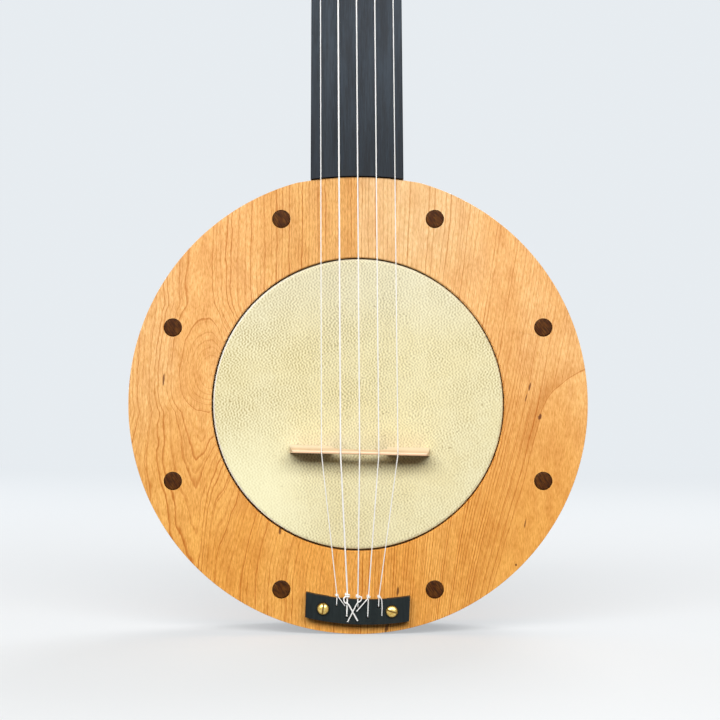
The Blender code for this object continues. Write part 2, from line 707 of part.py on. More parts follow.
def dowel_stick():
    half = STICK_WIDTH / 2
    tail_end = -CORE_INNER_RADIUS - STICK_TAIL_TENON
    heel_end = POT_RADIUS - NECK_FLAT_DEPTH + STICK_HEEL_TENON
    low = STICK_MIDDLE - STICK_DEPTH / 2
    high = STICK_MIDDLE + STICK_DEPTH / 2
    made = block("dowel_stick", (-half, tail_end, low), (half, heel_end, high), POT, CHERRY)
    round_edges(made, STICK_EDGE, 1, lambda at: tail_end + MERGE < at.y < heel_end - MERGE)
    shade(combine(made, [end_screw_hole("stick_end_hole")]))
    screw = screw_profile(END_SCREW_RADIUS, END_SCREW_HEAD_RADIUS, END_SCREW_LENGTH)
    shade(turned("dowel_end_screw", screw, SCREW_STEPS, POT, end_screw_place(), STEEL))


# Neck


def neck_section(matrix, left, right, depth, roundness, lip, steps=10):
    """One cross-section: a flat top, short upright sides and a rounded back."""
    middle, half = (left + right) / 2, (right - left) / 2
    points = [(right, 0.0)]
    for step in range(steps + 1):
        turn = math.pi * step / steps
        across = math.copysign(abs(math.cos(turn)) ** (2 / roundness), math.cos(turn))
        down = math.sin(turn) ** (2 / roundness) if 0 < step < steps else 0.0
        points.append((middle + half * across, -lip - (depth - lip) * down))
    points.append((left, 0.0))
    return [matrix @ Vector((x, 0, z)) for x, z in points]


def shoulder_stations():
    return [SHOULDER_Y + SHOULDER_LENGTH * step / 8 for step in range(9)]


def shaft_stations():
    """Distances along the neck, closer together in the heel and the shoulder."""
    heel = [-HEEL_OVERRUN] + [HEEL_LENGTH * step / 10 for step in range(11)]
    shoulder = shoulder_stations()
    rest = [between(HEEL_LENGTH, SHOULDER_Y, 0.5), between(shoulder[-1], BOARD_LENGTH, 0.5)]
    throat = [BOARD_LENGTH - before for before in THROAT_STATIONS]
    return sorted(heel + shoulder + rest + throat)


def shaft_section(y):
    heel = 1 - smooth_step(y / HEEL_LENGTH)
    shaft = between(NECK_DEPTH_AT_HEEL_END, NECK_DEPTH_AT_NUT, y / BOARD_LENGTH)
    depth = between(shaft, HEEL_DEPTH, heel)
    throat = smooth_step((y - BOARD_LENGTH + THROAT_START) / THROAT_LENGTH)
    roundness = between(between(NECK_ROUNDNESS, HEEL_ROUNDNESS, heel), PEGHEAD_SQUARENESS, throat**2)
    place = Matrix.Translation((0, y, NECK_TOP))
    return neck_section(place, bass_edge(y), treble_edge(y), depth, roundness, NECK_LIP)


def peghead_section(y):
    half = peghead_half_width(y)
    place = PEGHEAD_IN_NECK @ Matrix.Translation((0, y, 0))
    squareness = between(PEGHEAD_SQUARENESS / 2, PEGHEAD_SQUARENESS, smooth_step(y / PEGHEAD_FLARE))
    left, right = NUT_MIDDLE - half, NUT_MIDDLE + half
    return neck_section(place, left, right, PEGHEAD_DEPTH, squareness, PEGHEAD_LIP)


def bend_section():
    """The section behind the nut, where the neck turns back into the peghead."""
    place = PEGHEAD_IN_NECK @ Matrix.Rotation(PEGHEAD_ANGLE / 2, 4, "X")
    left, right = NUT_MIDDLE - NUT_WIDTH / 2, NUT_MIDDLE + NUT_WIDTH / 2
    depth = PEGHEAD_DEPTH + BEND_EXTRA_DEPTH
    return neck_section(place, left, right, depth, PEGHEAD_SQUARENESS / 2, BEND_LIP)


def neck():
    rings = [shaft_section(y) for y in shaft_stations()]
    rings.append(bend_section())
    rings += [peghead_section(y) for y in peghead_stations()]
    count = len(rings[0])
    points = [point for ring in rings for point in ring]
    faces = []
    for ring in range(len(rings) - 1):
        for side in range(count):
            here, there = ring * count, (ring + 1) * count
            following = (side + 1) % count
            faces.append((here + side, here + following, there + following, there + side))
    last = (len(rings) - 1) * count
    faces.append(tuple(range(count))[::-1])
    faces.append(tuple(range(last, last + count)))
    mesh = bpy.data.meshes.new("neck")
    mesh.from_pydata(points, [], faces)
    mesh.materials.append(CHERRY)
    made = add_object("neck", mesh, NECK, None, CHERRY)
    half = STICK_WIDTH / 2 + GAP
    low = STICK_MIDDLE - STICK_DEPTH / 2 - GAP
    high = STICK_MIDDLE + STICK_DEPTH / 2 + GAP
    heel_end = POT_RADIUS - NECK_FLAT_DEPTH + STICK_HEEL_TENON + GAP
    mortise = block("heel_mortise", (-half, 0, low), (half, heel_end, high), POT)
    made = combine(made, [pot_cutter("neck_end", GAP), mortise] + peg_holes("neck") + [side_peg_hole()])
    shade(made, 40)


def pot_cutter(name, gap):
    """The room that the pot takes from what stands against its edge."""
    return plate(name, [pot_outline(gap)], BACK_FACE, BOARD_PROUD + BOARD_THICKNESS, POT)


def fingerboard():
    start = -BOARD_OVERRUN
    left = [start] + shoulder_stations() + [BOARD_LENGTH]
    outline = [(bass_edge(y), y) for y in left]
    outline += [(treble_edge(BOARD_LENGTH), BOARD_LENGTH), (treble_edge(start), start)]
    made = plate("fingerboard", [outline[::-1]], -BOARD_THICKNESS, 0, NECK, EBONY)
    round_edges(made, BOARD_EDGE, 1, lambda at: at.z > -MERGE and 0 < at.y < BOARD_LENGTH - MERGE)
    depth = -FIFTH_NUT_SEAT - GAP
    hole = turned(
        "fifth_nut_hole",
        [(0, GAP), (FIFTH_NUT_RADIUS + GAP, GAP), (FIFTH_NUT_RADIUS + GAP, depth), (0, depth)],
        PLUG_STEPS,
        NECK,
        Matrix.Translation((FIFTH_STRING_AT, FIFTH_NUT_Y, 0)),
    )
    shade(combine(made, [pot_cutter("board_end", BOARD_END_GAP), hole]))


def string_groove(name, points, radius, frame):
    """A groove along a string where it crosses a nut or the bridge."""
    return rod(name, points[0], points[1], radius + GAP, 8, frame)


def nut():
    left, right = NUT_MIDDLE - NUT_WIDTH / 2, NUT_MIDDLE + NUT_WIDTH / 2
    low = (left, NUT_START, NECK_TOP + GAP)
    high = (right, NUT_START + NUT_THICKNESS, NUT_ABOVE_BOARD)
    made = block("nut", low, high, NECK, BONE)
    fall = nut_string_fall() * NUT_THICKNESS
    for vertex in made.data.vertices:
        if vertex.co.z > 0 and vertex.co.y > NUT_START + NUT_THICKNESS / 2:
            vertex.co.z -= fall
    round_edges(made, NUT_EDGE, 1, lambda at: at.z > 0)
    grooves = []
    for number in range(1, 5):
        start, post = nut_point(number), post_entry(number)
        back = start + (start - post).normalized() * MM
        ahead = start + (post - start).normalized() * (NUT_THICKNESS + GROOVE_REACH)
        grooves.append(string_groove(f"nut_groove_{number}", (back, ahead), STRING_RADII[number], NECK))
    shade(combine(made, grooves))


def fifth_string_nut():
    top, seat, edge = FIFTH_NUT_HEIGHT, -FIFTH_NUT_SEAT, FIFTH_NUT_EDGE
    profile = [(0, top), (FIFTH_NUT_RADIUS - edge, top), (FIFTH_NUT_RADIUS, top - edge)]
    profile += [(FIFTH_NUT_RADIUS, seat), (0, seat)]
    place = Matrix.Translation((FIFTH_STRING_AT, FIFTH_NUT_Y, 0))
    made = turned("fifth_string_nut", profile, PLUG_STEPS, NECK, place, BONE)
    middle = Vector((FIFTH_STRING_AT, FIFTH_NUT_Y, FIFTH_STRING_AT_NUT))
    reach = Vector((0, GROOVE_REACH, 0))
    slope = Vector((0, GROOVE_REACH, -FIFTH_STRING_FALL))
    grooves = [
        string_groove("fifth_groove_in", (middle - reach, middle), STRING_RADII[0], NECK),
        string_groove("fifth_groove_out", (middle, middle + slope), STRING_RADII[0], NECK),
    ]
    shade(combine(made, grooves))


def peghead_overlay():
    stations = [GAP] + peghead_stations()
    right = [(NUT_MIDDLE + peghead_half_width(y), y) for y in stations]
    left = [(NUT_MIDDLE - peghead_half_width(y), y) for y in stations]
    made = plate("peghead_overlay", [right + left[::-1]], GAP, OVERLAY_TOP, PEGHEAD, EBONY)
    shade(combine(made, peg_holes("overlay")))


# Pegs


def peg_places():
    """Frames of the fourth to first string's pegs: Z along the peg, its collar at Z = 0."""
    collar = -PEGHEAD_DEPTH - PEG_STANDOFF
    second_row = PEG_FIRST_ROW + PEG_ROW_SPACING
    spots = [(-1, PEG_FIRST_ROW), (-1, second_row), (1, second_row), (1, PEG_FIRST_ROW)]
    return [Matrix.Translation((NUT_MIDDLE + side * PEG_ACROSS / 2, y, collar)) for side, y in spots]


def side_peg_place():
    """Frame of the fifth string's peg: it points to the right, into the neck's side."""
    collar = bass_edge(SIDE_PEG_Y) - SIDE_PEG_EXPOSED
    turn = Matrix.Rotation(math.radians(90), 4, "Y")
    return Matrix.Translation((collar, SIDE_PEG_Y, SIDE_PEG_Z)) @ turn


def peg_radius(length, z):
    return PEG_TIP_RADIUS + (length - z) * PEG_TAPER


def peg_holes(piece):
    made = []
    for number, place in enumerate(peg_places(), 1):
        low, high = PEG_STANDOFF / 2, PEG_LENGTH - PEG_EXPOSED / 2
        profile = [
            (0, high),
            (peg_radius(PEG_LENGTH, high) + GAP, high),
            (peg_radius(PEG_LENGTH, low) + GAP, low),
            (0, low),
        ]
        made.append(turned(f"{piece}_peg_hole_{number}", profile, PEG_STEPS, PEGHEAD, place))
    return made


def side_peg_hole():
    low, high = SIDE_PEG_EXPOSED / 2, SIDE_PEG_LENGTH + GAP
    profile = [
        (0, high),
        (peg_radius(SIDE_PEG_LENGTH, high) + GAP, high),
        (peg_radius(SIDE_PEG_LENGTH, low) + GAP, low),
        (0, low),
    ]
    return turned("side_peg_hole", profile, PEG_STEPS, NECK, side_peg_place())


def grip_outline():
    """The thumb piece seen flat: an oval that narrows towards the collar."""
    points = []
    for step in range(GRIP_STEPS):
        turn = math.tau * step / GRIP_STEPS
        nearness = (1 + math.sin(turn)) / 2
        x = PEG_GRIP_WIDTH / 2 * math.cos(turn) * (1 - 0.45 * nearness**2)
        y = -PEG_COLLAR_LENGTH - PEG_GRIP_HEIGHT / 2 * (1 - math.sin(turn) * 1.1)
        points.append((x, y))
    return points


def peg(name, length, hole_at, frame, place):
    """A tapered shaft with a collar, a flat thumb piece and a cross hole for the string."""
    edge, collar = PEG_EDGE, PEG_COLLAR_RADIUS
    profile = [
        (0, length),
        (PEG_TIP_RADIUS - edge, length),
        (PEG_TIP_RADIUS, length - edge),
        (peg_radius(length, 0), 0),
        (collar - edge, 0),
        (collar, -edge),
        (collar, edge - PEG_COLLAR_LENGTH),
        (collar - 2 * edge, -PEG_COLLAR_LENGTH),
        (0, -PEG_COLLAR_LENGTH),
    ]
    made = turned(name, profile, PEG_STEPS, frame, place, ROSEWOOD)
    half = PEG_GRIP_THICKNESS / 2
    grip = plate(f"{name}_grip", [grip_outline()], -half, half, frame)
    round_edges(grip, PEG_GRIP_ROUND, 2, lambda at: abs(at.z) > half - MERGE)
    grip.matrix_basis = place @ Matrix.Rotation(math.radians(90), 4, "X")
    made = combine(made, [grip], "UNION")
    reach = Vector((2 * PEG_TIP_RADIUS, 0, 0))
    middle = Vector((0, 0, hole_at))
    hole = rod(f"{name}_hole", middle - reach, middle + reach, PEG_HOLE_RADIUS, 8, frame)
    hole.matrix_basis = place @ hole.matrix_basis
    shade(combine(made, [hole]), 40)


def pegs():
    side_turn = Matrix.Rotation(PEG_TURNS[0], 4, "Z")
    peg("peg_5", SIDE_PEG_LENGTH, SIDE_PEG_HOLE_AT, NECK, side_peg_place() @ side_turn)
    for number, place in enumerate(peg_places(), 1):
        turn = Matrix.Rotation(PEG_TURNS[number], 4, "Z")
        name = f"peg_{5 - number}"
        peg(name, PEG_LENGTH, PEG_LENGTH - PEG_HOLE_FROM_TIP, PEGHEAD, place @ turn)


# Bridge


def bridge_outline():
    """Bridge seen along the strings: two feet, an arch between them and tapered ends."""
    foot, top = BRIDGE_FOOT_LENGTH / 2, BRIDGE_TOP_LENGTH / 2
    height, arch = BRIDGE_HEIGHT, BRIDGE_ARCH_WIDTH / 2
    right = [(foot, 0), (foot, BRIDGE_FOOT_RIM)]
    for step in range(BRIDGE_CORNER_STEPS + 1):
        turn = math.pi / 2 * step / BRIDGE_CORNER_STEPS
        out, up = math.cos(turn) - 1, math.sin(turn) - 1
        right.append((top + BRIDGE_CORNER * out, height + BRIDGE_CORNER * up))
    left = [(-x, z) for x, z in right[::-1]]
    under = []
    for step in range(BRIDGE_ARCH_STEPS + 1):
        turn = math.pi * (1 - step / BRIDGE_ARCH_STEPS)
        lift = math.sin(turn) ** BRIDGE_ARCH_POWER if 0 < step < BRIDGE_ARCH_STEPS else 0.0
        under.append((arch * math.cos(turn), BRIDGE_ARCH_HEIGHT * lift))
    return right + left + under


def bridge():
    made = plate("bridge", [bridge_outline()], -1, 1, BRIDGE, MAPLE)
    top = BRIDGE_TOP_THICKNESS / 2
    for vertex in made.data.vertices:
        x, height, side = vertex.co
        share = height / BRIDGE_HEIGHT
        to_neck = between(BRIDGE_FOOT_TO_NECK, top, share)
        to_tail = -between(BRIDGE_FOOT_TO_TAIL, top, share)
        vertex.co = (x, to_neck if side < 0 else to_tail, height)
    round_edges(made, BRIDGE_EDGE, 1, lambda at: at.z > BRIDGE_FOOT_RIM / 2)
    grooves = []
    for number, radius in enumerate(STRING_RADII):
        middle = Vector(((number - 2) * BRIDGE_SPACING, 0, BRIDGE_HEIGHT))
        reach = Vector((0, GROOVE_REACH, 0))
        line = (middle - reach, middle + reach)
        grooves.append(string_groove(f"bridge_groove_{number}", line, radius, BRIDGE))
    shade(combine(made, grooves))


# Tailpiece


def tail_curve(x):
    """How far the curved strip rises above its middle at this distance from it."""
    return TAILPIECE_CURVE_RADIUS - math.sqrt(TAILPIECE_CURVE_RADIUS**2 - x**2)


def tail_strip(half_length, margin=0.0, steps=12):
    """Outline of a stretch of the curved strip."""
    half = TAILPIECE_WIDTH / 2 + margin
    across = [between(-half_length, half_length, step / steps) for step in range(steps + 1)]
    lower = [(x, tail_curve(x) - half) for x in across]
    upper = [(x, tail_curve(x) + half) for x in across[::-1]]
    return lower + upper


def tail_hole(number):
    """Middle of a string's hole; the holes stand in two rows by turns."""
    x = (number - 2) * TAIL_HOLE_SPACING
    row = TAIL_HOLE_ROW if number % 2 == 0 else -TAIL_HOLE_ROW
    return Vector((x, tail_curve(x) + row, 0))


def tail_screw_places():
    places = []
    for side in (1, 2):
        x = TAIL_SCREW_SPACING / 2 * (-1 if side == 1 else 1)
        places.append((side, Matrix.Translation((x, tail_curve(x), 0))))
    return places


def tailpiece():
    made = plate("tailpiece", [tail_strip(TAILPIECE_LENGTH / 2)], GAP, TAILPIECE_TOP, TAILPIECE, EBONY)
    round_edges(made, TAILPIECE_EDGE, 2, lambda at: at.z > TAILPIECE_TOP - MERGE)
    relief_half = TAILPIECE_LENGTH / 2 - TAILPIECE_PAD
    cutters = [plate("tail_relief", [tail_strip(relief_half, MM)], 0, GAP + TAILPIECE_RELIEF, TAILPIECE)]
    for number, radius in enumerate(STRING_RADII):
        at = tail_hole(number)
        top = Vector((0, 0, TAILPIECE_TOP + GAP))
        cutters.append(rod(f"tail_hole_{number}", at, at + top, radius + TAIL_HOLE_ROOM, 10, TAILPIECE))
    for side, place in tail_screw_places():
        radius = TAIL_SCREW_RADIUS + GAP
        profile = [(0, TAILPIECE_TOP + GAP), (radius, TAILPIECE_TOP + GAP), (radius, 0), (0, 0)]
        cutters.append(turned(f"tail_screw_hole_{side}", profile, SCREW_STEPS, TAILPIECE, place))
    shade(combine(made, cutters))


def tail_screws():
    """Two round-head slotted screws."""
    seat = TAILPIECE_TOP + GAP
    height, wide, rim = TAIL_SCREW_HEAD_HEIGHT, TAIL_SCREW_HEAD_RADIUS, TAIL_SCREW_RIM
    for side, place in tail_screw_places():
        dome = []
        for step in range(4):
            turn = math.pi / 2 * (1 - step / 4)
            dome.append((wide * math.cos(turn), seat + rim + (height - rim) * math.sin(turn)))
        dome[0] = (0, dome[0][1])
        end = seat - GAP - TAIL_SCREW_LENGTH
        profile = dome + [
            (wide, seat + rim),
            (wide, seat),
            (TAIL_SCREW_RADIUS, seat),
            (TAIL_SCREW_RADIUS, end + 2 * TAIL_SCREW_RADIUS + GAP),
            (0.3 * TAIL_SCREW_RADIUS, end + GAP),
            (0, end + GAP),
        ]
        turn = Matrix.Rotation(TAIL_SCREW_SLOTS[side - 1], 4, "Z")
        made = turned(f"tailpiece_screw_{side}", profile, PLUG_STEPS, TAILPIECE, place @ turn, BRASS)
        low = (-2 * wide, -TAIL_SCREW_SLOT_WIDTH / 2, seat + TAIL_SCREW_SLOT_FLOOR)
        high = (2 * wide, TAIL_SCREW_SLOT_WIDTH / 2, seat + 2 * height)
        slot = block(f"slot_{side}", low, high, TAILPIECE)
        slot.matrix_basis = place @ turn
        shade(combine(made, [slot]))


# Strings


def bridge_point(number):
    """Where a string crosses the bridge, in the pot frame."""
    return BRIDGE_IN_POT @ Vector(((number - 2) * BRIDGE_SPACING, 0, BRIDGE_HEIGHT))


def nut_point(number):
    """Where a string crosses its nut, in the neck frame."""
    if number == 0:
        return Vector((FIFTH_STRING_AT, FIFTH_NUT_Y, FIFTH_STRING_AT_NUT))
    x = NUT_STRINGS_MIDDLE + (number - 2.5) * NUT_SPACING
    return Vector((x, NUT_START, STRING_AT_NUT))


def winding(number):
    """(peg frame in the neck frame, side, length, start and hole height along the peg)."""
    if number == 0:
        place = side_peg_place()
        start = (place.inverted() @ nut_point(0)).z
        return place, -1, SIDE_PEG_LENGTH, start, SIDE_PEG_HOLE_AT
    place = PEGHEAD_IN_NECK @ peg_places()[number - 1]
    side = 1 if number < 3 else -1
    start = PEG_STANDOFF + PEGHEAD_DEPTH + OVERLAY_TOP + WIND_HEIGHT
    return place, side, PEG_LENGTH, start, PEG_LENGTH - PEG_HOLE_FROM_TIP


def first_touch(number):
    """(turn, radius) at which a string meets its peg, about the peg's axis."""
    place, side, length, start, _ = winding(number)
    radius = peg_radius(length, start) + GAP + STRING_RADII[number]
    near = place.inverted() @ nut_point(number)
    lean = math.acos(radius / near.xy.length)
    return math.atan2(near.y, near.x) + side * lean, radius


def post_entry(number):
    """The same place as a point in the neck frame."""
    place, _, _, start, _ = winding(number)
    turn, radius = first_touch(number)
    return place @ Vector((radius * math.cos(turn), radius * math.sin(turn), start))


def nut_string_fall():
    """How steeply the strings drop behind the nut."""
    start, post = nut_point(2), post_entry(2)
    return (start.z - post.z) / (post.y - start.y)


def wound_turns(number):
    """Total turn round the peg, from the first touch to the cross hole."""
    _, side, _, _, _ = winding(number)
    begin, _ = first_touch(number)
    to_hole = side * (PEG_TURNS[number] - begin)
    least = LEAST_TURNS * math.tau
    return to_hole + math.pi * math.ceil((least - to_hole) / math.pi)


def peg_end(number):
    """The string's turns on its peg and its end through the cross hole, in the neck frame."""
    place, side, length, start, hole_at = winding(number)
    begin, radius = first_touch(number)
    total = wound_turns(number)
    pitch = (2 * STRING_RADII[number] + TURN_GAP) * math.copysign(1, hole_at - start)
    climb = hole_at - start - pitch * total / math.tau
    wrapped = total - PEG_ENTRY_TURN
    count = round(wrapped / math.tau * TURN_STEPS)
    points = []
    for step in range(1, count + 1):
        wound = wrapped * step / count
        height = start + pitch * wound / math.tau + climb * smooth_step((wound - total + math.pi) / math.pi)
        turn = begin + side * wound
        points.append(Vector((radius * math.cos(turn), radius * math.sin(turn), height)))
    last = begin + side * total
    outward = Vector((math.cos(last), math.sin(last), 0))
    middle = Vector((0, 0, hole_at))
    corner = middle + outward * radius
    inside = middle + outward * (peg_radius(length, hole_at) - PEG_ENTRY_DEPTH)
    for share in (0.35, 0.65, 1.0):
        points.append(points[count - 1].lerp(corner, share).lerp(corner.lerp(inside, share), share))
    points.append(middle - outward * (radius + STRING_END))
    return [place @ point for point in points]


def smooth_through(points, per_span):
    """Points of a smooth curve through the given ones."""
    ends = [points[0] * 2 - points[1]] + list(points) + [points[-1] * 2 - points[-2]]
    found = []
    for before, here, there, after in zip(ends, ends[1:], ends[2:], ends[3:]):
        for step in range(per_span):
            share = step / per_span
            bend = (2 * before - 5 * here + 4 * there - after) * share**2
            twist = (3 * here - before - 3 * there + after) * share**3
            found.append((2 * here + (there - before) * share + bend + twist) / 2)
    return found + [points[-1]]


def tail_knot(number):
    """The string's loop through the tailpiece and its knot, free end first, in the tailpiece frame.

    The string comes from the bridge, runs over the strip to its hole, returns under the strip,
    takes its turns round itself above the strip's edge and ends on top.
    """
    thick = STRING_RADII[number]
    hole = tail_hole(number)
    over_strip = Vector((0, 0, TAILPIECE_TOP + GAP + thick))
    under_strip = Vector((0, 0, (GAP + TAILPIECE_RELIEF) / 2))
    edge = tail_curve(hole.x) + TAILPIECE_WIDTH / 2
    knot = Vector((hole.x, edge + KNOT_ABOVE_EDGE, 0)) + over_strip
    end = hole + FREE_ENDS[number] + over_strip
    along = (TAILPIECE_IN_POT.inverted() @ bridge_point(number) - knot).normalized()
    across = Vector((-1, 0, 0))
    across = (across - along * across.dot(along)).normalized()
    upward = Vector((0, 0, 1)) - along * along.z
    orbit = 2 * thick + TURN_GAP
    count = round(KNOT_TURNS * 12)
    wraps = []
    for step in range(count + 1):
        turned_by = KNOT_TURNS * step / count
        turn = math.tau * turned_by - math.pi / 2
        centre = knot + along * (MM + orbit * turned_by)
        wraps.append(centre + across * orbit * math.cos(turn) + upward * orbit * math.sin(turn))
    wraps.reverse()
    aside = wraps[0] + Vector((orbit + 2 * thick, 0, 0)) + KNOT_EXIT
    free = [end, aside.lerp(end, 0.5), aside, wraps[0]]
    in_hole = Vector((0, 0, MM))
    under = [
        Vector((hole.x, edge + EDGE_WRAP, 0)) + under_strip,
        hole + under_strip + Vector((0, HOLE_BEND, 0)),
        hole + under_strip + in_hole,
    ]
    over = [hole + over_strip - in_hole, hole + over_strip + Vector((0, OVER_BEND, 0)), knot]
    return smooth_through(free, 2) + wraps[1:] + smooth_through([wraps[-1]] + under + over, 2)[1:]


def string_points(number):
    """The whole string, from its free end at the tailpiece to its end in the peg, in the pot frame."""
    tail = [TAILPIECE_IN_POT @ point for point in tail_knot(number)]
    head = [NECK_IN_POT @ point for point in [nut_point(number), post_entry(number)] + peg_end(number)]
    return tail + [bridge_point(number)] + head


def least_gap(points, radius, apart=3.0 * MM, step=0.4 * MM):
    """The least gap between stretches of one string that lie further apart than that along it."""
    line = np.array([tuple(point) for point in points])
    lengths = np.linalg.norm(np.diff(line, axis=0), axis=1)
    along = np.concatenate([[0.0], np.cumsum(lengths)])
    at = np.arange(0, along[-1], step)
    fine = np.stack([np.interp(at, along, line[:, axis]) for axis in range(3)], axis=1)
    least = math.inf
    for index in range(len(fine)):
        far = fine[index + round(apart / step) :]
        if len(far):
            least = min(least, float(np.linalg.norm(far - fine[index], axis=1).min()))
    return least - 2 * radius


def strings():
    for number, radius in enumerate(STRING_RADII):
        name = f"string_{5 - number}"
        points = string_points(number)
        curve = bpy.data.curves.new(name, "CURVE")
        curve.dimensions = "3D"
        curve.bevel_depth = radius
        curve.bevel_resolution = 1
        curve.use_fill_caps = True
        curve.materials.append(NYLON)
        spline = curve.splines.new("POLY")
        spline.points.add(len(points) - 1)
        for spot, point in zip(spline.points, points):
            spot.co = (*point, 1)
        add_object(name, curve, POT, None, NYLON)
        print(f"{name}: {len(points)} points, least gap to itself {least_gap(points, radius) / MM:.2f} mm")


def build():
    front_ring()
    core_ring()
    back_ring()
    plugs_and_screws()
    head_skin()
    tone_hoop()
    dowel_stick()
    neck()
    fingerboard()
    nut()
    fifth_string_nut()
    peghead_overlay()
    pegs()
    bridge()
    tailpiece()
    tail_screws()
    strings()


build()
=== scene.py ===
"""Looks of an open-back fretless banjo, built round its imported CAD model.

Metres throughout. Z runs up the neck, the head and the strings face -Y, and the origin lies on the
flat back of the pot, at its tail end. Strings are numbered 0 to 4 here, from the fifth, the short
drone at the left, to the first.
"""

import json
import math

import bmesh
import bpy
from mathutils import Matrix, Vector


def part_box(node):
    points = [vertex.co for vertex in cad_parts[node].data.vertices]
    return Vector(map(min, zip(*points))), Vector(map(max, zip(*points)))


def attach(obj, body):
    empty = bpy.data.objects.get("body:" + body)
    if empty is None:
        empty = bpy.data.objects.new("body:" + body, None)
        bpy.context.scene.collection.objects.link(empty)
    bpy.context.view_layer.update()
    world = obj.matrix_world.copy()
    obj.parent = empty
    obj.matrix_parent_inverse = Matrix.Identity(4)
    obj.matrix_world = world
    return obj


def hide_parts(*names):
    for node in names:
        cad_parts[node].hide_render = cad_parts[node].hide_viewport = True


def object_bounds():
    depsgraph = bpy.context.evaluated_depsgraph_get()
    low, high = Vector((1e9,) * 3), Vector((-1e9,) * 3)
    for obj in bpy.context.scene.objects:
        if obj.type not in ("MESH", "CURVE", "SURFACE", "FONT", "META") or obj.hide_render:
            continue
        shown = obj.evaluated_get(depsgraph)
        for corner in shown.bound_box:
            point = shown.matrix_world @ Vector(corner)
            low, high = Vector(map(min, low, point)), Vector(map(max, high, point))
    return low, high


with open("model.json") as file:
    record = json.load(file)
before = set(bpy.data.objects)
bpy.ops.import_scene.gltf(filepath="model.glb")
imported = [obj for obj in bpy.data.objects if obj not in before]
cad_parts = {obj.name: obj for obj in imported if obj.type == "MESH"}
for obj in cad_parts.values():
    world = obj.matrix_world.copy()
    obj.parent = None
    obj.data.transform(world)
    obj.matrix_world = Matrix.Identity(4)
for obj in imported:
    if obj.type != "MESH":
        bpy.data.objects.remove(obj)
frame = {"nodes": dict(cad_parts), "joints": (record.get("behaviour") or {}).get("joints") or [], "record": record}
CAD_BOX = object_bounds()
NODES = frame["nodes"]
BODY_OF = {node: body for body, nodes in frame["record"]["behaviour"]["bodies"].items() for node in nodes}
ROOT = "instrument"
PEG_BODIES = ["fifth_string_peg", "fourth_string_peg", "third_string_peg", "second_string_peg", "first_string_peg"]
MM = 0.001

# Photograph: its middle in the object's frame, and how much it shows at the front ring's face
PHOTO_MIDDLE_X = 1.19 * MM
PHOTO_MIDDLE_Z = 138.0 * MM
PHOTO_DISTANCE = 1.2
PHOTO_WIDTH = 437.7 * MM
PHOTO_PIXELS = 720

# Sizes that the CAD model has too
POT_RADIUS = 139.7 * MM
NECK_FLAT_DEPTH = 1.7 * MM
HEAD_RIM = 87.1 * MM
OPENING_RADIUS = 88.9 * MM
BACK_ANGLE = math.radians(2.2)
BOARD_PROUD = 2.0 * MM
STRING_RADII = [radius * MM for radius in (0.3, 0.5, 0.4, 0.35, 0.3)]
BRIDGE_AT = Vector((1.0, -29.0, 1.3)) * MM
BRIDGE_TILT = math.radians(-1.3)
BRIDGE_HEIGHT = 16.0 * MM
BRIDGE_SPACING = 11.475 * MM
STRING_AT_NUT = 1.6 * MM
NUT_SPACING = 10.63 * MM
NUT_STRINGS_MIDDLE = 1.75 * MM
SCALE_LENGTH = 635.0 * MM
FIFTH_STRING_AT = -23.4 * MM
FIFTH_STRING_AT_NUT = 2.3 * MM
PEG_LENGTHS = [31.0 * MM] + [35.0 * MM] * 4
PEG_HOLES = [4.8 * MM] + [30.8 * MM] * 4
WINDING_STARTS = [None] + [25.3 * MM] * 4
PEG_TIP_RADIUS = 3.3 * MM
PEG_TAPER = 1.0 / 60.0
PEG_TURNS = [math.radians(turn) for turn in (0.0, 12.0, -20.0, 8.0, -9.0)]
TAILPIECE_AT = Vector((-0.4, -125.5, 0.0)) * MM
TAILPIECE_TILT = math.radians(-2.2)
TAILPIECE_TOP = 6.3 * MM
TAILPIECE_WIDTH = 15.1 * MM
TAILPIECE_CURVE_RADIUS = 162.0 * MM
TAIL_HOLE_SPACING = 6.35 * MM
TAIL_HOLE_ROW = 3.05 * MM
TAIL_UNDER = 1.4 * MM
SCREW_HEAD_RADIUS = 3.8 * MM
SCREW_DOME = 2.3 * MM

# Strings
LEAST_TURNS = 4.0
SNUG = 0.04 * MM
TURN_STEPS = 32
KNOT_ABOVE_EDGE = 1.6 * MM
KNOT_TURNS = 2.0
KNOT_SLACK = 0.22 * MM
STRING_END = 2.5 * MM
FREE_ENDS = [  # millimetres from each string's hole, seen from the front, and above the strip
    [(1.4, 4.6, 1.0), (3.4, 2.0, 0.5), (5.1, 0.0, 0.1)],
    [(-2.0, 11.4, 1.6), (-1.6, 8.6, 1.1), (0.8, 7.4, 1.2), (4.2, 1.8, 0.5), (6.7, -2.4, 0.1)],
    [(2.0, 6.4, 1.6), (1.9, 4.2, 1.4), (-0.4, 2.2, 1.5), (-3.2, -3.8, 1.3), (-5.7, -9.1, 0.9)],
    [(-0.8, 11.0, 1.2), (-3.6, 7.4, 0.9), (-6.8, 3.4, 0.9)],
    [(1.5, 5.0, 1.2), (2.1, 0.6, 0.7), (2.2, -5.1, 0.1)],
]

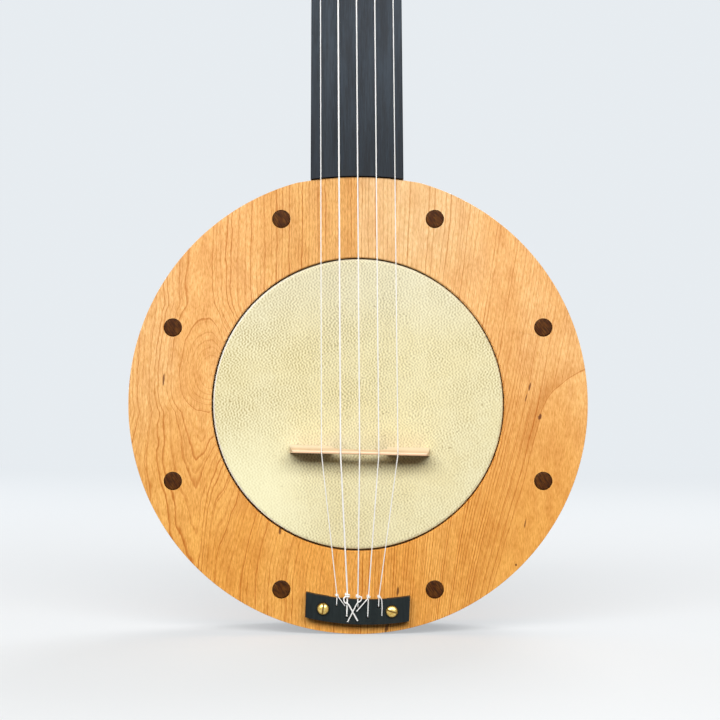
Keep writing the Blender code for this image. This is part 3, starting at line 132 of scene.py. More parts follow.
RING_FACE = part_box("front_ring")[0].y
BRIDGE_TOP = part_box("bridge")[0].y
POT_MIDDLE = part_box("back_ring")[0].z + POT_RADIUS
POT = Matrix.Translation((0, RING_FACE, POT_MIDDLE)) @ Matrix.Rotation(math.radians(90), 4, "X")
NECK = POT @ Matrix.Translation((0, POT_RADIUS - NECK_FLAT_DEPTH, BOARD_PROUD))
NECK = NECK @ Matrix.Rotation(-BACK_ANGLE, 4, "X")
BRIDGE = POT @ Matrix.Translation(BRIDGE_AT) @ Matrix.Rotation(BRIDGE_TILT, 4, "Z")
BRIDGE_IN_NECK = NECK.inverted() @ BRIDGE @ Vector((0, 0, BRIDGE_HEIGHT))
TAILPIECE = POT @ Matrix.Translation(TAILPIECE_AT) @ Matrix.Rotation(TAILPIECE_TILT, 4, "Z")


def smooth_step(share):
    share = min(max(share, 0.0), 1.0)
    return share * share * (3 - 2 * share)


def photo_point(px, py):
    """Where a pixel of the photograph lies on the front ring's face, as (x, z)."""
    size = PHOTO_WIDTH / PHOTO_PIXELS
    middle = PHOTO_PIXELS / 2
    return PHOTO_MIDDLE_X + (px - middle) * size, PHOTO_MIDDLE_Z - (py - middle) * size


def srgb(red, green, blue):
    """A colour given as it shows on a screen, 0 to 255, in the linear values that shaders take."""
    shown = [channel / 255 for channel in (red, green, blue)]
    linear = [c / 12.92 if c <= 0.04045 else ((c + 0.055) / 1.055) ** 2.4 for c in shown]
    return (*linear, 1.0)


# Materials


class Look:
    """A material with short ways to add nodes. Its coordinates are the CAD model's, in metres."""

    def __init__(self, name, roughness=0.5, metallic=0.0):
        self.material = bpy.data.materials.new(name)
        self.material.use_nodes = True
        self.tree = self.material.node_tree
        self.shader = self.tree.nodes["Principled BSDF"]
        self.shader.inputs["Roughness"].default_value = roughness
        self.shader.inputs["Metallic"].default_value = metallic
        self.place = self.tree.nodes.new("ShaderNodeTexCoord").outputs["Object"]

    def node(self, kind, inputs, **settings):
        made = self.tree.nodes.new("ShaderNode" + kind)
        for key, value in settings.items():
            setattr(made, key, value)
        for key, value in inputs.items():
            self.set(made.inputs[key], value)
        return made

    def set(self, socket, value):
        if isinstance(value, bpy.types.NodeSocket):
            self.tree.links.new(value, socket)
        else:
            socket.default_value = value

    def maths(self, operation, first, second=0.0, clamp=False):
        return self.node("Math", {0: first, 1: second}, operation=operation, use_clamp=clamp).outputs[0]

    def axes(self):
        """The three coordinates, each by itself."""
        return self.node("SeparateXYZ", {0: self.place}).outputs

    def vector(self, x, y, z):
        return self.node("CombineXYZ", {0: x, 1: y, 2: z}).outputs[0]

    def scaled(self, scales, shift=(0.0, 0.0, 0.0)):
        moved = self.node("VectorMath", {0: self.place, 1: shift}, operation="ADD").outputs[0]
        return self.node("VectorMath", {0: moved, 1: scales}, operation="MULTIPLY").outputs[0]

    def noise(self, vector, detail=3.0, roughness=0.55, distortion=0.0):
        inputs = {"Vector": vector, "Scale": 1.0, "Detail": detail, "Roughness": roughness}
        inputs["Distortion"] = distortion
        return self.node("TexNoise", inputs).outputs[0]

    def cells(self, vector, feature="F1", randomness=1.0):
        inputs = {"Vector": vector, "Scale": 1.0, "Randomness": randomness}
        return self.node("TexVoronoi", inputs, feature=feature).outputs["Distance"]

    def between(self, value, low, high, to_low=0.0, to_high=1.0, smooth=True):
        inputs = {"Value": value, "From Min": low, "From Max": high, "To Min": to_low, "To Max": to_high}
        kind = "SMOOTHSTEP" if smooth else "LINEAR"
        return self.node("MapRange", inputs, interpolation_type=kind).outputs[0]

    def mix(self, share, first, second, blend="MIX"):
        inputs = {0: share, 6: first, 7: second}
        return self.node("Mix", inputs, data_type="RGBA", blend_type=blend).outputs[2]

    def bump(self, height, distance, strength=1.0, normal=None):
        inputs = {"Height": height, "Distance": distance, "Strength": strength}
        if normal is not None:
            inputs["Normal"] = normal
        return self.node("Bump", inputs).outputs[0]

    def colour(self, value):
        self.set(self.shader.inputs["Base Color"], value)

    def finish(self, roughness=None, normal=None, specular=None, coat=None):
        for name, value in (("Roughness", roughness), ("Normal", normal)):
            if value is not None:
                self.set(self.shader.inputs[name], value)
        if specular is not None:
            self.shader.inputs["Specular IOR Level"].default_value = specular
        if coat is not None:
            self.shader.inputs["Coat Weight"].default_value = coat
        return self.material


def warped(look, height, amounts, seed):
    """A height field bent by waves of three sizes, as grain wanders in a real board."""
    for amount, scales in zip(amounts, ((14.0, 14.0, 5.0), (70.0, 70.0, 22.0), (150.0, 150.0, 75.0))):
        waves = look.noise(look.scaled(scales, (seed, seed, 0.0)), detail=2.0)
        height = look.maths("ADD", height, look.maths("MULTIPLY", look.maths("SUBTRACT", waves, 0.5), amount))
    return height


def growth_lines(look, height, spacing, seed):
    """Thin dark lines where the height passes each year's ring, some strong and most faint, 0 to 1."""
    phase = look.maths("DIVIDE", height, spacing)
    uneven = look.noise(look.vector(look.maths("MULTIPLY", phase, 0.6), seed, 0.0), detail=1.0)
    phase = look.maths("ADD", phase, look.maths("MULTIPLY", uneven, 0.9))
    share = look.maths("FRACT", phase)
    rise = look.between(share, 0.62, 0.92)
    fall = look.between(share, 0.93, 1.0, 1.0, 0.0)
    year = look.maths("ADD", look.maths("FLOOR", phase), seed)
    strong = look.node("TexWhiteNoise", {"W": year}, noise_dimensions="1D").outputs["Value"]
    strong = look.maths("ADD", look.maths("POWER", strong, 1.8), 0.36)
    broken = look.between(look.noise(look.scaled((60.0, 60.0, 22.0), (0.0, seed, 0.0))), 0.3, 0.62, 0.35, 1.0)
    return look.maths("MULTIPLY", look.maths("MULTIPLY", look.maths("MULTIPLY", rise, fall), strong), broken)


def ring_lines(look, height, rings):
    """A thin dark line at each given ring, in millimetres of height, 0 to its strength."""
    drawn = 0.0
    for at, strength in rings:
        rise = look.between(height, (at - 0.65) * MM, at * MM, 0.0, strength)
        fall = look.between(height, at * MM, (at + 0.2) * MM, 1.0, 0.0)
        drawn = look.maths("MAXIMUM", drawn, look.maths("MULTIPLY", rise, fall))
    return drawn


def distance(look, first, second):
    squares = look.maths("ADD", look.maths("MULTIPLY", first, first), look.maths("MULTIPLY", second, second))
    return look.maths("SQRT", squares)


def arch_height(look, trunk_x, trunk_z, depth):
    """Distance from the trunk's middle line, which crosses the board's face at the given place."""
    x, y, z = look.axes()
    rise = look.maths("SUBTRACT", z, trunk_z)
    deep = look.maths("ADD", look.maths("MULTIPLY", rise, depth), look.maths("SUBTRACT", y, RING_FACE))
    return distance(look, look.maths("SUBTRACT", x, trunk_x), deep)


def knotted_height(look):
    """The left board's figure: a closed oval beside the opening, long tongues below it."""
    x, y, z = look.axes()
    at_x, at_z = photo_point(213, 371)
    rise = look.maths("SUBTRACT", z, at_z)
    fall = look.maths("MULTIPLY", rise, -1.0)
    upper = look.maths("MULTIPLY", look.maths("POWER", look.between(rise, 0.0, 33 * MM, smooth=False), 0.7), 21 * MM)
    deep = look.maths("ADD", upper, look.maths("SUBTRACT", y, RING_FACE))
    for way, first, last, depth in KNOT_SLOPES:
        ramp = look.between(rise if way > 0 else fall, first * MM, last * MM, 0.0, depth * MM, smooth=way > 0)
        deep = look.maths("ADD", deep, ramp)
    left = look.between(rise, 8 * MM, 50 * MM, 0.0, 5 * MM, smooth=False)
    right = look.between(fall, 5 * MM, 55 * MM, 0.0, 10.5 * MM, smooth=False)
    side = look.maths("ADD", look.maths("SUBTRACT", x, at_x), look.maths("ADD", left, right))
    outward = look.maths("MULTIPLY", look.maths("MINIMUM", side, 0.0), look.between(fall, 20 * MM, 100 * MM, 1.0, 0.7))
    inward = look.maths("MAXIMUM", side, 0.0)
    lean = look.maths("MULTIPLY", look.between(fall, 30 * MM, 130 * MM, 0.0, 20 * MM), look.between(inward, 0.0, 14 * MM))
    inward = look.maths("ADD", inward, lean)
    narrow = look.maths("MULTIPLY", look.maths("MINIMUM", inward, 9 * MM), look.between(rise, 0.0, 22 * MM, 0.0, 1.1))
    away = look.maths("ABSOLUTE", look.maths("ADD", outward, look.maths("ADD", inward, narrow)))
    near = look.maths("MINIMUM", away, POINTED)
    sharp = look.maths("MULTIPLY", look.maths("POWER", look.maths("DIVIDE", near, POINTED), 0.65), POINTED)
    more = look.maths("MULTIPLY", look.maths("SUBTRACT", sharp, near), look.between(fall, 15 * MM, 45 * MM))
    return distance(look, look.maths("ADD", away, more), deep)


def leaning_height(look):
    """The right board's figure: lines that lean further and further outwards, and the dark one that turns off."""
    x, y, z = look.axes()
    at_x, at_z = photo_point(580, 425)
    rise = look.maths("SUBTRACT", z, at_z)
    slope = look.maths("SUBTRACT", 0.24, look.maths("MULTIPLY", rise, 0.53))
    lean = look.maths("MULTIPLY", look.maths("MULTIPLY", rise, slope), look.between(x, 5 * MM, 95 * MM, 0.08, 1.0))
    across = look.maths("SUBTRACT", look.maths("SUBTRACT", x, at_x), lean)
    deep = look.maths("SUBTRACT", y, RING_FACE)
    turning = look.maths("ADD", deep, look.between(rise, 0.0, 37 * MM, 0.0, 26 * MM))
    return distance(look, across, deep), distance(look, across, turning)


def pores(look, seed=0.0, across=2000.0, along=300.0):
    """Short fine pores along the grain, 0 to 1."""
    return look.noise(look.scaled((across, across, along), (seed, 0.0, 0.0)), detail=2.0, roughness=0.7)


def streak(look, px, py, wide, tall, lean=0.0):
    """A dark mineral streak at a place of the photograph, 1 in its middle. Sizes in metres."""
    at_x, at_z = photo_point(px, py)
    x, _, z = look.axes()
    down = look.maths("SUBTRACT", z, at_z)
    side = look.maths("SUBTRACT", look.maths("SUBTRACT", x, at_x), look.maths("MULTIPLY", down, lean))
    across = look.maths("DIVIDE", side, wide)
    along = look.maths("DIVIDE", down, tall)
    squares = look.maths("ADD", look.maths("MULTIPLY", across, across), look.maths("MULTIPLY", along, along))
    ragged = look.noise(look.scaled((900.0, 900.0, 300.0)), detail=2.0)
    away = look.maths("ADD", look.maths("SQRT", squares), look.maths("SUBTRACT", ragged, 0.5))
    return look.between(away, 0.5, 1.0, 1.0, 0.0)


KNOT_SLOPES = [  # up or down, from and to in millimetres from the oval's middle, and how much deeper
    (-1, 0, 25, 21),
    (-1, 25, 75, 9),
    (-1, 75, 133, 5),
    (1, 32, 42, 3),
]
POINTED = 30 * MM  # within this of the trunk's middle line, the figure's lower end is pointed
LEFT_RINGS = [  # millimetres from the left board's trunk, and how dark
    (9.0, 0.3),
    (12.0, 0.3),
    (14.5, 0.35),
    (17.0, 0.35),
    (20.7, 0.65),
    (26.2, 0.65),
    (28.4, 0.55),
    (31.1, 0.4),
    (33.4, 0.75),
    (35.2, 0.75),
    (38.5, 0.6),
    (42.5, 0.4),
    (45.5, 0.8),
    (52.0, 0.4),
    (58.5, 0.8),
    (66.0, 0.8),
    (82.0, 0.6),
]
TURNING_RING = (26.0, 0.5)  # the right board's line that turns off to the edge
RIGHT_RINGS = [  # the right board's other lines
    (29.0, 0.6),
    (33.0, 0.4),
    (37.0, 0.5),
    (41.0, 0.35),
    (46.0, 0.5),
    (52.0, 0.4),
    (60.0, 0.35),
    (69.0, 0.6),
    (78.0, 0.35),
    (88.0, 0.45),
]
STREAKS = [  # pixel, then half width and half height in millimetres, and how far it leans per height
    (163.6, 380, 0.7, 4.6, 0.08),
    (530, 386, 0.7, 3.4, 0.25),
    (526, 398, 0.4, 3.0, 0.30),
    (280, 531, 0.8, 3.0, 0.05),
    (386.6, 628, 1.2, 3.8, 0.25),
    (397.8, 591.5, 1.0, 3.8, 0.12),
    (516, 565, 0.8, 1.0, 0.0),
    (540, 417, 1.3, 2.2, 0.2),
    (525, 524, 0.4, 3.2, 0.12),
]


PORE_CHANNELS = [(0.70, 1.21), (0.58, 1.32), (0.32, 1.58)]  # how far pores darken and lighten each channel


def board_colour(look, lines, pore, seed, light, middle, dark, pored=1.0):
    """A board's colour from its growth lines, its pores and broad clouds."""
    clouds = look.noise(look.scaled((26.0, 26.0, 9.0), (0.0, seed, seed)), detail=3.0)
    mottled = look.noise(look.scaled((170.0, 170.0, 60.0), (seed, 0.0, seed)), detail=2.0)
    base = look.mix(look.between(clouds, 0.34, 0.66), light, middle)
    base = look.mix(look.between(mottled, 0.35, 0.7, 0.0, 0.26), base, dark)
    ringed = look.mix(look.maths("MULTIPLY", lines, 1.0, clamp=True), base, dark)
    fine = []
    for low, high in PORE_CHANNELS:
        fine.append(look.between(pore, 0.28, 0.72, 1 + (low - 1) * pored, 1 + (high - 1) * pored, smooth=False))
    return look.mix(1.0, ringed, look.vector(*fine), "MULTIPLY")


def cherry_face():
    """The front ring: two boards of cherry glued along the middle line."""
    look = Look("cherry_face", 0.42)
    x, _, z = look.axes()
    left = warped(look, knotted_height(look), (3.0 * MM, 2.8 * MM, 1.6 * MM), 0.0)
    right, turned = [warped(look, height, (4 * MM, 2 * MM, 1.2 * MM), 3.7) for height in leaning_height(look)]
    pore = pores(look)
    faint = look.between(left, 15 * MM, 60 * MM, 0.15, 0.9)
    left_lines = look.maths("MULTIPLY", growth_lines(look, left, 1.9 * MM, 5.0), faint)
    left_lines = look.maths("MAXIMUM", left_lines, ring_lines(look, left, LEFT_RINGS))
    faint = look.between(turned, 22 * MM, 38 * MM, 0.1, 1.0)
    faint = look.maths("MULTIPLY", faint, look.between(x, 60 * MM, 110 * MM, 1.15, 0.7))
    right_lines = look.maths("MULTIPLY", growth_lines(look, right, 2.05 * MM, 9.0), faint)
    right_lines = look.maths("MAXIMUM", right_lines, ring_lines(look, right, RIGHT_RINGS))
    right_lines = look.maths("MAXIMUM", right_lines, ring_lines(look, turned, [TURNING_RING]))
    band = look.maths("MULTIPLY", look.between(turned, 25 * MM, 27 * MM), look.between(turned, 40 * MM, 27 * MM))
    apart = look.maths("ABSOLUTE", look.maths("SUBTRACT", z, photo_point(550, 405)[1]))
    band = look.maths("MULTIPLY", band, look.between(apart, 38 * MM, 12 * MM, 0.0, 0.3))
    right_lines = look.maths("ADD", right_lines, band)
    dark = srgb(192, 113, 38)
    right_lines = look.maths("MULTIPLY", right_lines, look.between(z, 90 * MM, 170 * MM, 1.5, 0.95))
    left_lines = look.maths("MULTIPLY", left_lines, 1.15)
    left_colour = board_colour(look, left_lines, pore, 1.3, srgb(252, 198, 131), srgb(246, 186, 114), dark, 0.85)
    right_colour = board_colour(look, right_lines, pore, 6.1, srgb(252, 199, 133), srgb(243, 184, 114), dark, 0.75)
    side = look.between(x, 0.1 * MM, 0.5 * MM, smooth=False)
    # Painted sheen: the right board's upper part is painted paler and cooler, a highlight of the light from above.
    paler = look.node("Gamma", {"Color": right_colour, "Gamma": 0.72}).outputs[0]
    pale = look.maths("MULTIPLY", look.between(z, 165 * MM, 215 * MM), look.between(x, 40 * MM, 95 * MM, 1.0, 0.0))
    right_colour = look.mix(look.maths("MULTIPLY", pale, 0.45), right_colour, paler)
    right_colour = look.mix(pale, right_colour, look.mix(1.0, right_colour, srgb(247, 251, 255), "MULTIPLY"))
    ripe = look.maths("MULTIPLY", look.between(z, 165 * MM, 200 * MM), look.between(x, -80 * MM, -35 * MM))
    left_colour = look.mix(ripe, left_colour, look.mix(1.0, left_colour, srgb(242, 238, 220), "MULTIPLY"))
    outer = look.between(x, -122 * MM, -100 * MM, 0.4, 0.0)
    left_colour = look.mix(outer, left_colour, look.node("Gamma", {"Color": left_colour, "Gamma": 0.8}).outputs[0])
    colour = look.mix(side, left_colour, right_colour)
    seam = look.between(look.maths("ABSOLUTE", look.maths("SUBTRACT", x, 0.3 * MM)), 0.1 * MM, 0.4 * MM, 0.3, 0.0)
    colour = look.mix(seam, colour, srgb(150, 84, 36))
    for px, py, wide, tall, lean in STREAKS:
        spot = streak(look, px, py, wide * MM, tall * MM, lean)
        colour = look.mix(look.maths("MULTIPLY", spot, 0.85), colour, srgb(90, 40, 22))
    # Painted shade: the face is darker and more saturated towards the bottom, where less of the light from above
    # falls.
    painted_lower_shade = look.mix(1.0, colour, srgb(249, 233, 181), "MULTIPLY")
    colour = look.mix(look.between(z, 10 * MM, 190 * MM, 1.0, 0.0), colour, painted_lower_shade)
    # Painted shade: a dark line along the opening's rim, fading out on the right, stands for the shade in the gap
    # round the skin.
    up = look.maths("SUBTRACT", z, POT_MIDDLE)
    edge = look.between(distance(look, x, up), OPENING_RADIUS, OPENING_RADIUS + 0.5 * MM, 0.85, 0.0)
    edge = look.maths("MULTIPLY", edge, look.between(x, 20 * MM, 70 * MM, 1.0, 0.0))
    colour = look.mix(edge, colour, srgb(70, 36, 18))
    look.colour(colour)
    rough = look.between(pore, 0.2, 0.8, 0.38, 0.5)
    return look.finish(rough, look.bump(pore, 0.03 * MM, 0.15), specular=0.2)


def cherry(name, trunk_x, trunk_z, depth, spacing, seed, tint=(255, 255, 255)):
    """Cherry for the pieces behind the front ring and for the neck, grain along Z."""
    look = Look(name, 0.42)
    height = arch_height(look, trunk_x, trunk_z, depth)
    lines = growth_lines(look, warped(look, height, (12 * MM, 2.4 * MM, 0.5 * MM), seed), spacing, seed)
    pore = pores(look, seed)
    light, middle, dark = srgb(245, 184, 112), srgb(236, 168, 92), srgb(192, 113, 38)
    colour = board_colour(look, lines, pore, seed, light, middle, dark)
    look.colour(look.mix(1.0, colour, srgb(*tint), "MULTIPLY"))
    rough = look.between(pore, 0.2, 0.8, 0.38, 0.5)
    return look.finish(rough, look.bump(pore, 0.03 * MM, 0.15), specular=0.2)


def dark_wood(name, light, dark, roughness, across=900.0, along=60.0, seed=0.0, open_pores=0.5, specular=0.14):
    """Close-grained dark wood with fine lines along Z."""
    look = Look(name, roughness)
    lines = look.noise(look.scaled((across, across, along), (seed, 0.0, 0.0)), detail=4.0, roughness=0.7)
    bands = look.noise(look.scaled((across / 7, across / 7, along / 6), (seed, 0.0, 0.0)), detail=2.0)
    mixed = look.maths("ADD", look.maths("MULTIPLY", lines, 0.6), look.maths("MULTIPLY", bands, 0.4))
    colour = look.mix(look.between(mixed, 0.35, 0.65), dark, light)
    holes = look.noise(look.scaled((across * 1.6, across * 1.6, along * 3), (seed, 1.0, 0.0)), detail=2.0)
    pore = look.between(holes, 0.6, 0.72, 0.0, open_pores)
    look.colour(look.mix(pore, colour, look.mix(1.0, dark, srgb(120, 110, 105), "MULTIPLY")))
    rough = look.between(lines, 0.3, 0.7, roughness - 0.06, roughness + 0.08)
    return look.finish(rough, look.bump(lines, 0.025 * MM, 0.4), specular=specular)


def ebony_board():
    """The fingerboard: dark wood, with shade painted on towards the pot."""
    light = (59, 68, 78)
    look = Look("ebony_board", 0.5)
    lines = look.noise(look.scaled((900.0, 900.0, 60.0), (1.0, 0.0, 0.0)), detail=4.0, roughness=0.7)
    bands = look.noise(look.scaled((130.0, 130.0, 10.0), (1.0, 0.0, 0.0)), detail=2.0)
    mixed = look.maths("ADD", look.maths("MULTIPLY", lines, 0.6), look.maths("MULTIPLY", bands, 0.4))
    colour = look.mix(look.between(mixed, 0.35, 0.65), EBONY_DARK, srgb(*light))
    # Painted shade: the board is painted darker towards the pot.
    lower = look.between(look.axes()[2], 250 * MM, 340 * MM, 0.8, 0.0)
    colour = look.mix(lower, colour, look.mix(1.0, colour, srgb(174, 178, 182), "MULTIPLY"))
    look.colour(colour)
    rough = look.between(lines, 0.3, 0.7, 0.44, 0.58)
    return look.finish(rough, look.bump(lines, 0.025 * MM, 0.4), specular=0.14)


def plug_wood():
    """Walnut end plugs: open dark pores on a slant, so each shows a different cut."""
    look = Look("walnut_plug", 0.5)
    x, y, z = look.axes()
    slant = look.maths("ADD", x, look.maths("MULTIPLY", z, 0.7))
    grain = look.noise(look.vector(look.maths("MULTIPLY", slant, 1300.0), y, look.maths("MULTIPLY", z, 240.0)))
    broad = look.noise(look.scaled((300.0, 300.0, 160.0), (2.0, 0.0, 0.0)), detail=2.0)
    colour = look.mix(look.between(broad, 0.35, 0.65), srgb(76, 38, 8), srgb(102, 60, 20))
    colour = look.mix(look.between(grain, 0.42, 0.62, 0.0, 0.85), colour, srgb(42, 20, 6))
    look.colour(colour)
    return look.finish(look.between(grain, 0.3, 0.7, 0.44, 0.58), look.bump(grain, 0.03 * MM, 0.4), specular=0.1)


PEBBLE_ROWS = [  # direction across the rows in degrees, pitch in millimetres, and weight
    (6, 1.9, 0.85),
    (31, 1.75, 1.1),
    (55, 1.6, 0.8),
    (121, 1.65, 0.75),
    (146, 1.6, 0.95),
    (172, 1.8, 0.85),
]


def pebble_height(look):
    """Height of the skin's pebbled grain: wandering rows that cross each other, about -2.5 to 2.5."""
    x, y, z = look.axes()
    height = 0.0
    for seed, (turn, pitch, weight) in enumerate(PEBBLE_ROWS):
        side, up = math.cos(math.radians(turn)), math.sin(math.radians(turn))
        along = look.maths("ADD", look.maths("MULTIPLY", x, side), look.maths("MULTIPLY", z, up))
        along = look.maths("ADD", along, look.maths("MULTIPLY", y, 0.7))
        stray = look.noise(look.scaled((110.0, 110.0, 110.0), (seed * 0.37, 0.0, seed * 0.23)), detail=1.0)
        phase = look.maths("MULTIPLY", along, math.tau / (pitch * MM))
        phase = look.maths("ADD", phase, look.maths("MULTIPLY", stray, 16.0))
        wave = look.maths("MULTIPLY", look.maths("SINE", phase), weight)
        height = look.maths("ADD", height, wave)
    return height


def hide():
    """Natural skin: creamy, with an even pebbled grain, faint clouds and a stretched rim, faintly paler all round and
    with a painted highlight on its left.
    """
    look = Look("hide", 0.6)
    x, _, z = look.axes()
    pebbles = pebble_height(look)
    wrinkles = look.noise(look.scaled((2200.0, 2200.0, 2200.0)), detail=1.0, roughness=0.6)
    clouds = look.noise(look.scaled((24.0, 24.0, 24.0)), detail=4.0, roughness=0.6)
    worn = look.noise(look.scaled((60.0, 60.0, 60.0), (0.3, 0.0, 0.0)), detail=2.0)
    worn = look.maths("MULTIPLY", look.between(worn, 0.35, 0.65, 0.7, 1.0), look.between(z, 40 * MM, 170 * MM, 0.8, 1.2))
    worn = look.maths("MULTIPLY", worn, look.between(x, -20 * MM, 40 * MM, 1.0, 0.85))
    mottles = look.noise(look.scaled((260.0, 260.0, 260.0), (0.0, 0.6, 0.0)), detail=2.0)
    colour = look.mix(look.between(clouds, 0.32, 0.68), srgb(247, 238, 194), srgb(250, 244, 206))
    colour = look.mix(look.between(mottles, 0.3, 0.7, 0.0, 0.22), colour, srgb(222, 208, 160))
    valleys = look.maths("MULTIPLY", look.between(pebbles, 1.6, -2.8, smooth=False), worn)
    colour = look.mix(valleys, colour, srgb(188, 174, 126))
    colour = look.mix(look.between(wrinkles, 0.4, 0.65, 0.0, 0.3), colour, srgb(204, 190, 142))
    flecks = look.noise(look.scaled((420.0, 420.0, 420.0), (0.0, 0.0, 0.9)), detail=1.0)
    patches = look.noise(look.scaled((34.0, 34.0, 34.0), (0.7, 0.0, 0.4)), detail=2.0)
    flecks = look.maths("MULTIPLY", look.between(flecks, 0.64, 0.76), look.between(patches, 0.42, 0.62, 0.1, 0.75))
    colour = look.mix(flecks, colour, srgb(158, 138, 92))
    paler = look.maths("MULTIPLY", look.between(x, -15 * MM, -60 * MM, 0.0, 0.6), look.between(z, 110 * MM, 60 * MM))
    colour = look.mix(paler, colour, srgb(255, 252, 212))
    shaded = look.between(z, 135 * MM, 190 * MM)
    cooler = look.mix(1.0, colour, srgb(248, 249, 255), "MULTIPLY")
    colour = look.mix(shaded, colour, look.mix(0.2, cooler, srgb(240, 240, 226)))
    up = look.maths("SUBTRACT", z, POT_MIDDLE)
    # Painted highlight: the rolled rim is faintly paler all round, as the stretched skin is, and painted near white on
    # the left, where it faces the light.
    rim = look.between(distance(look, x, up), HEAD_RIM, HEAD_RIM + 0.4 * MM)
    rim = look.maths("MULTIPLY", rim, look.between(x, -70 * MM, -20 * MM, 0.95, 0.1))
    colour = look.mix(rim, colour, srgb(255, 254, 246))
    bridge = BRIDGE @ Vector((0, 0, BRIDGE_HEIGHT))
    above = look.maths("SUBTRACT", z, bridge.z)
    beside = look.maths("ABSOLUTE", look.maths("SUBTRACT", x, bridge.x))
    handled = look.maths("MULTIPLY", look.between(above, 16 * MM, 4 * MM), look.between(above, -2 * MM, 2 * MM))
    handled = look.maths("MULTIPLY", handled, look.between(beside, 44 * MM, 36 * MM))
    handled = look.maths("MULTIPLY", handled, look.between(beside, 6 * MM, 16 * MM, 0.35, 1.0))
    look.colour(look.mix(handled, colour, look.mix(1.0, colour, srgb(241, 237, 242), "MULTIPLY")))
    height = look.maths("ADD", look.maths("MULTIPLY", pebbles, 0.15), wrinkles)
    return look.finish(0.6, look.bump(height, 0.12 * MM, 0.5), specular=0.1)


# Painted light across the ridge's front: a painted highlight along its upper edge, a darker line across its middle,
# and painted shade along its lower edge.
BRIDGE_RIDGE_HIGHLIGHT_LINE_AND_SHADE = [  # across the ridge, downwards: middle and half width in millimetres, share and colour
    (-0.6, 0.6, 0.9, (255, 242, 210)),
    (0.1, 0.4, 0.6, (226, 178, 138)),
    (0.8, 0.6, 0.95, (150, 106, 66)),
]


def pale_maple():
    """The bridge: bare fine-grained maple, its grain along X, with light and shade painted on its ridge and its lower
    faces.
    """
    look = Look("pale_maple", 0.5)
    lines = look.noise(look.scaled((30.0, 700.0, 700.0)), detail=4.0, roughness=0.6)
    broad = look.noise(look.scaled((12.0, 60.0, 60.0)), detail=2.0)
    colour = look.mix(look.between(broad, 0.3, 0.7), srgb(238, 214, 182), srgb(232, 203, 167))
    colour = look.mix(look.between(lines, 0.42, 0.66, 0.0, 0.8), colour, srgb(216, 172, 130))
    x, y, z = look.axes()
    # Partly the wood's own tone, partly painted shade: the ridge's front is painted pinker and darker than the slope
    # above it.
    ridge = look.between(y, BRIDGE_TOP + 0.6 * MM, BRIDGE_TOP + 0.2 * MM, 0.0, 0.8)
    colour = look.mix(ridge, colour, srgb(244, 206, 166))
    at = BRIDGE @ Vector((0, 0, BRIDGE_HEIGHT))
    tilted = look.maths("MULTIPLY", look.maths("SUBTRACT", x, at.x), math.tan(BRIDGE_TILT))
    down = look.maths("SUBTRACT", look.maths("ADD", tilted, at.z), z)
    near = look.between(y, BRIDGE_TOP + 1.2 * MM, BRIDGE_TOP + 0.8 * MM)
    # Paints that highlight, line and shade onto the ridge's front.
    for middle, half, share, shown in BRIDGE_RIDGE_HIGHLIGHT_LINE_AND_SHADE:
        away = look.maths("ABSOLUTE", look.maths("SUBTRACT", down, middle * MM))
        edge = look.maths("MULTIPLY", look.between(away, half * MM, 0.0, 0.0, share), near)
        colour = look.mix(edge, colour, srgb(*shown))
    # Partly the wood's paler tone, partly painted light: the slope above the ridge, facing up towards the light, is
    # painted paler.
    upper = look.between(down, -2.6 * MM, -1.5 * MM, 0.75, 0.0)
    colour = look.mix(upper, colour, srgb(247, 233, 206))
    # Painted shade: faces that look downwards are painted dark brown, which deepens the shadow the bridge casts on the
    # skin.
    facing = look.node("NewGeometry", {}).outputs["Normal"]
    facing = look.node("SeparateXYZ", {"Vector": facing}).outputs["Z"]
    look.colour(look.mix(look.between(facing, -0.3, -0.8, 0.0, 0.6), colour, srgb(146, 92, 44)))
    return look.finish(0.5, look.bump(lines, 0.02 * MM, 0.4), specular=0.35)


def bone():
    look = Look("bone", 0.32)
    grain = look.noise(look.scaled((350.0, 350.0, 90.0)), detail=3.0)
    look.colour(look.mix(look.between(grain, 0.35, 0.7), srgb(240, 232, 208), srgb(226, 214, 184)))
    return look.finish(0.32, look.bump(grain, 0.01 * MM, 0.3))


def metal(name, light, dark, roughness, blotches=260.0):
    """Metal with faint tarnish and fine scratches."""
    look = Look(name, roughness, 1.0)
    tarnish = look.noise(look.scaled((blotches, blotches, blotches)), detail=4.0)
    scratches = look.noise(look.scaled((3000.0, 300.0, 1200.0)), detail=2.0)
    look.colour(look.mix(look.between(tarnish, 0.35, 0.7), light, dark))
    rough = look.between(tarnish, 0.3, 0.7, roughness - 0.08, roughness + 0.12)
    return look.finish(rough, look.bump(scratches, 0.006 * MM, 0.4))


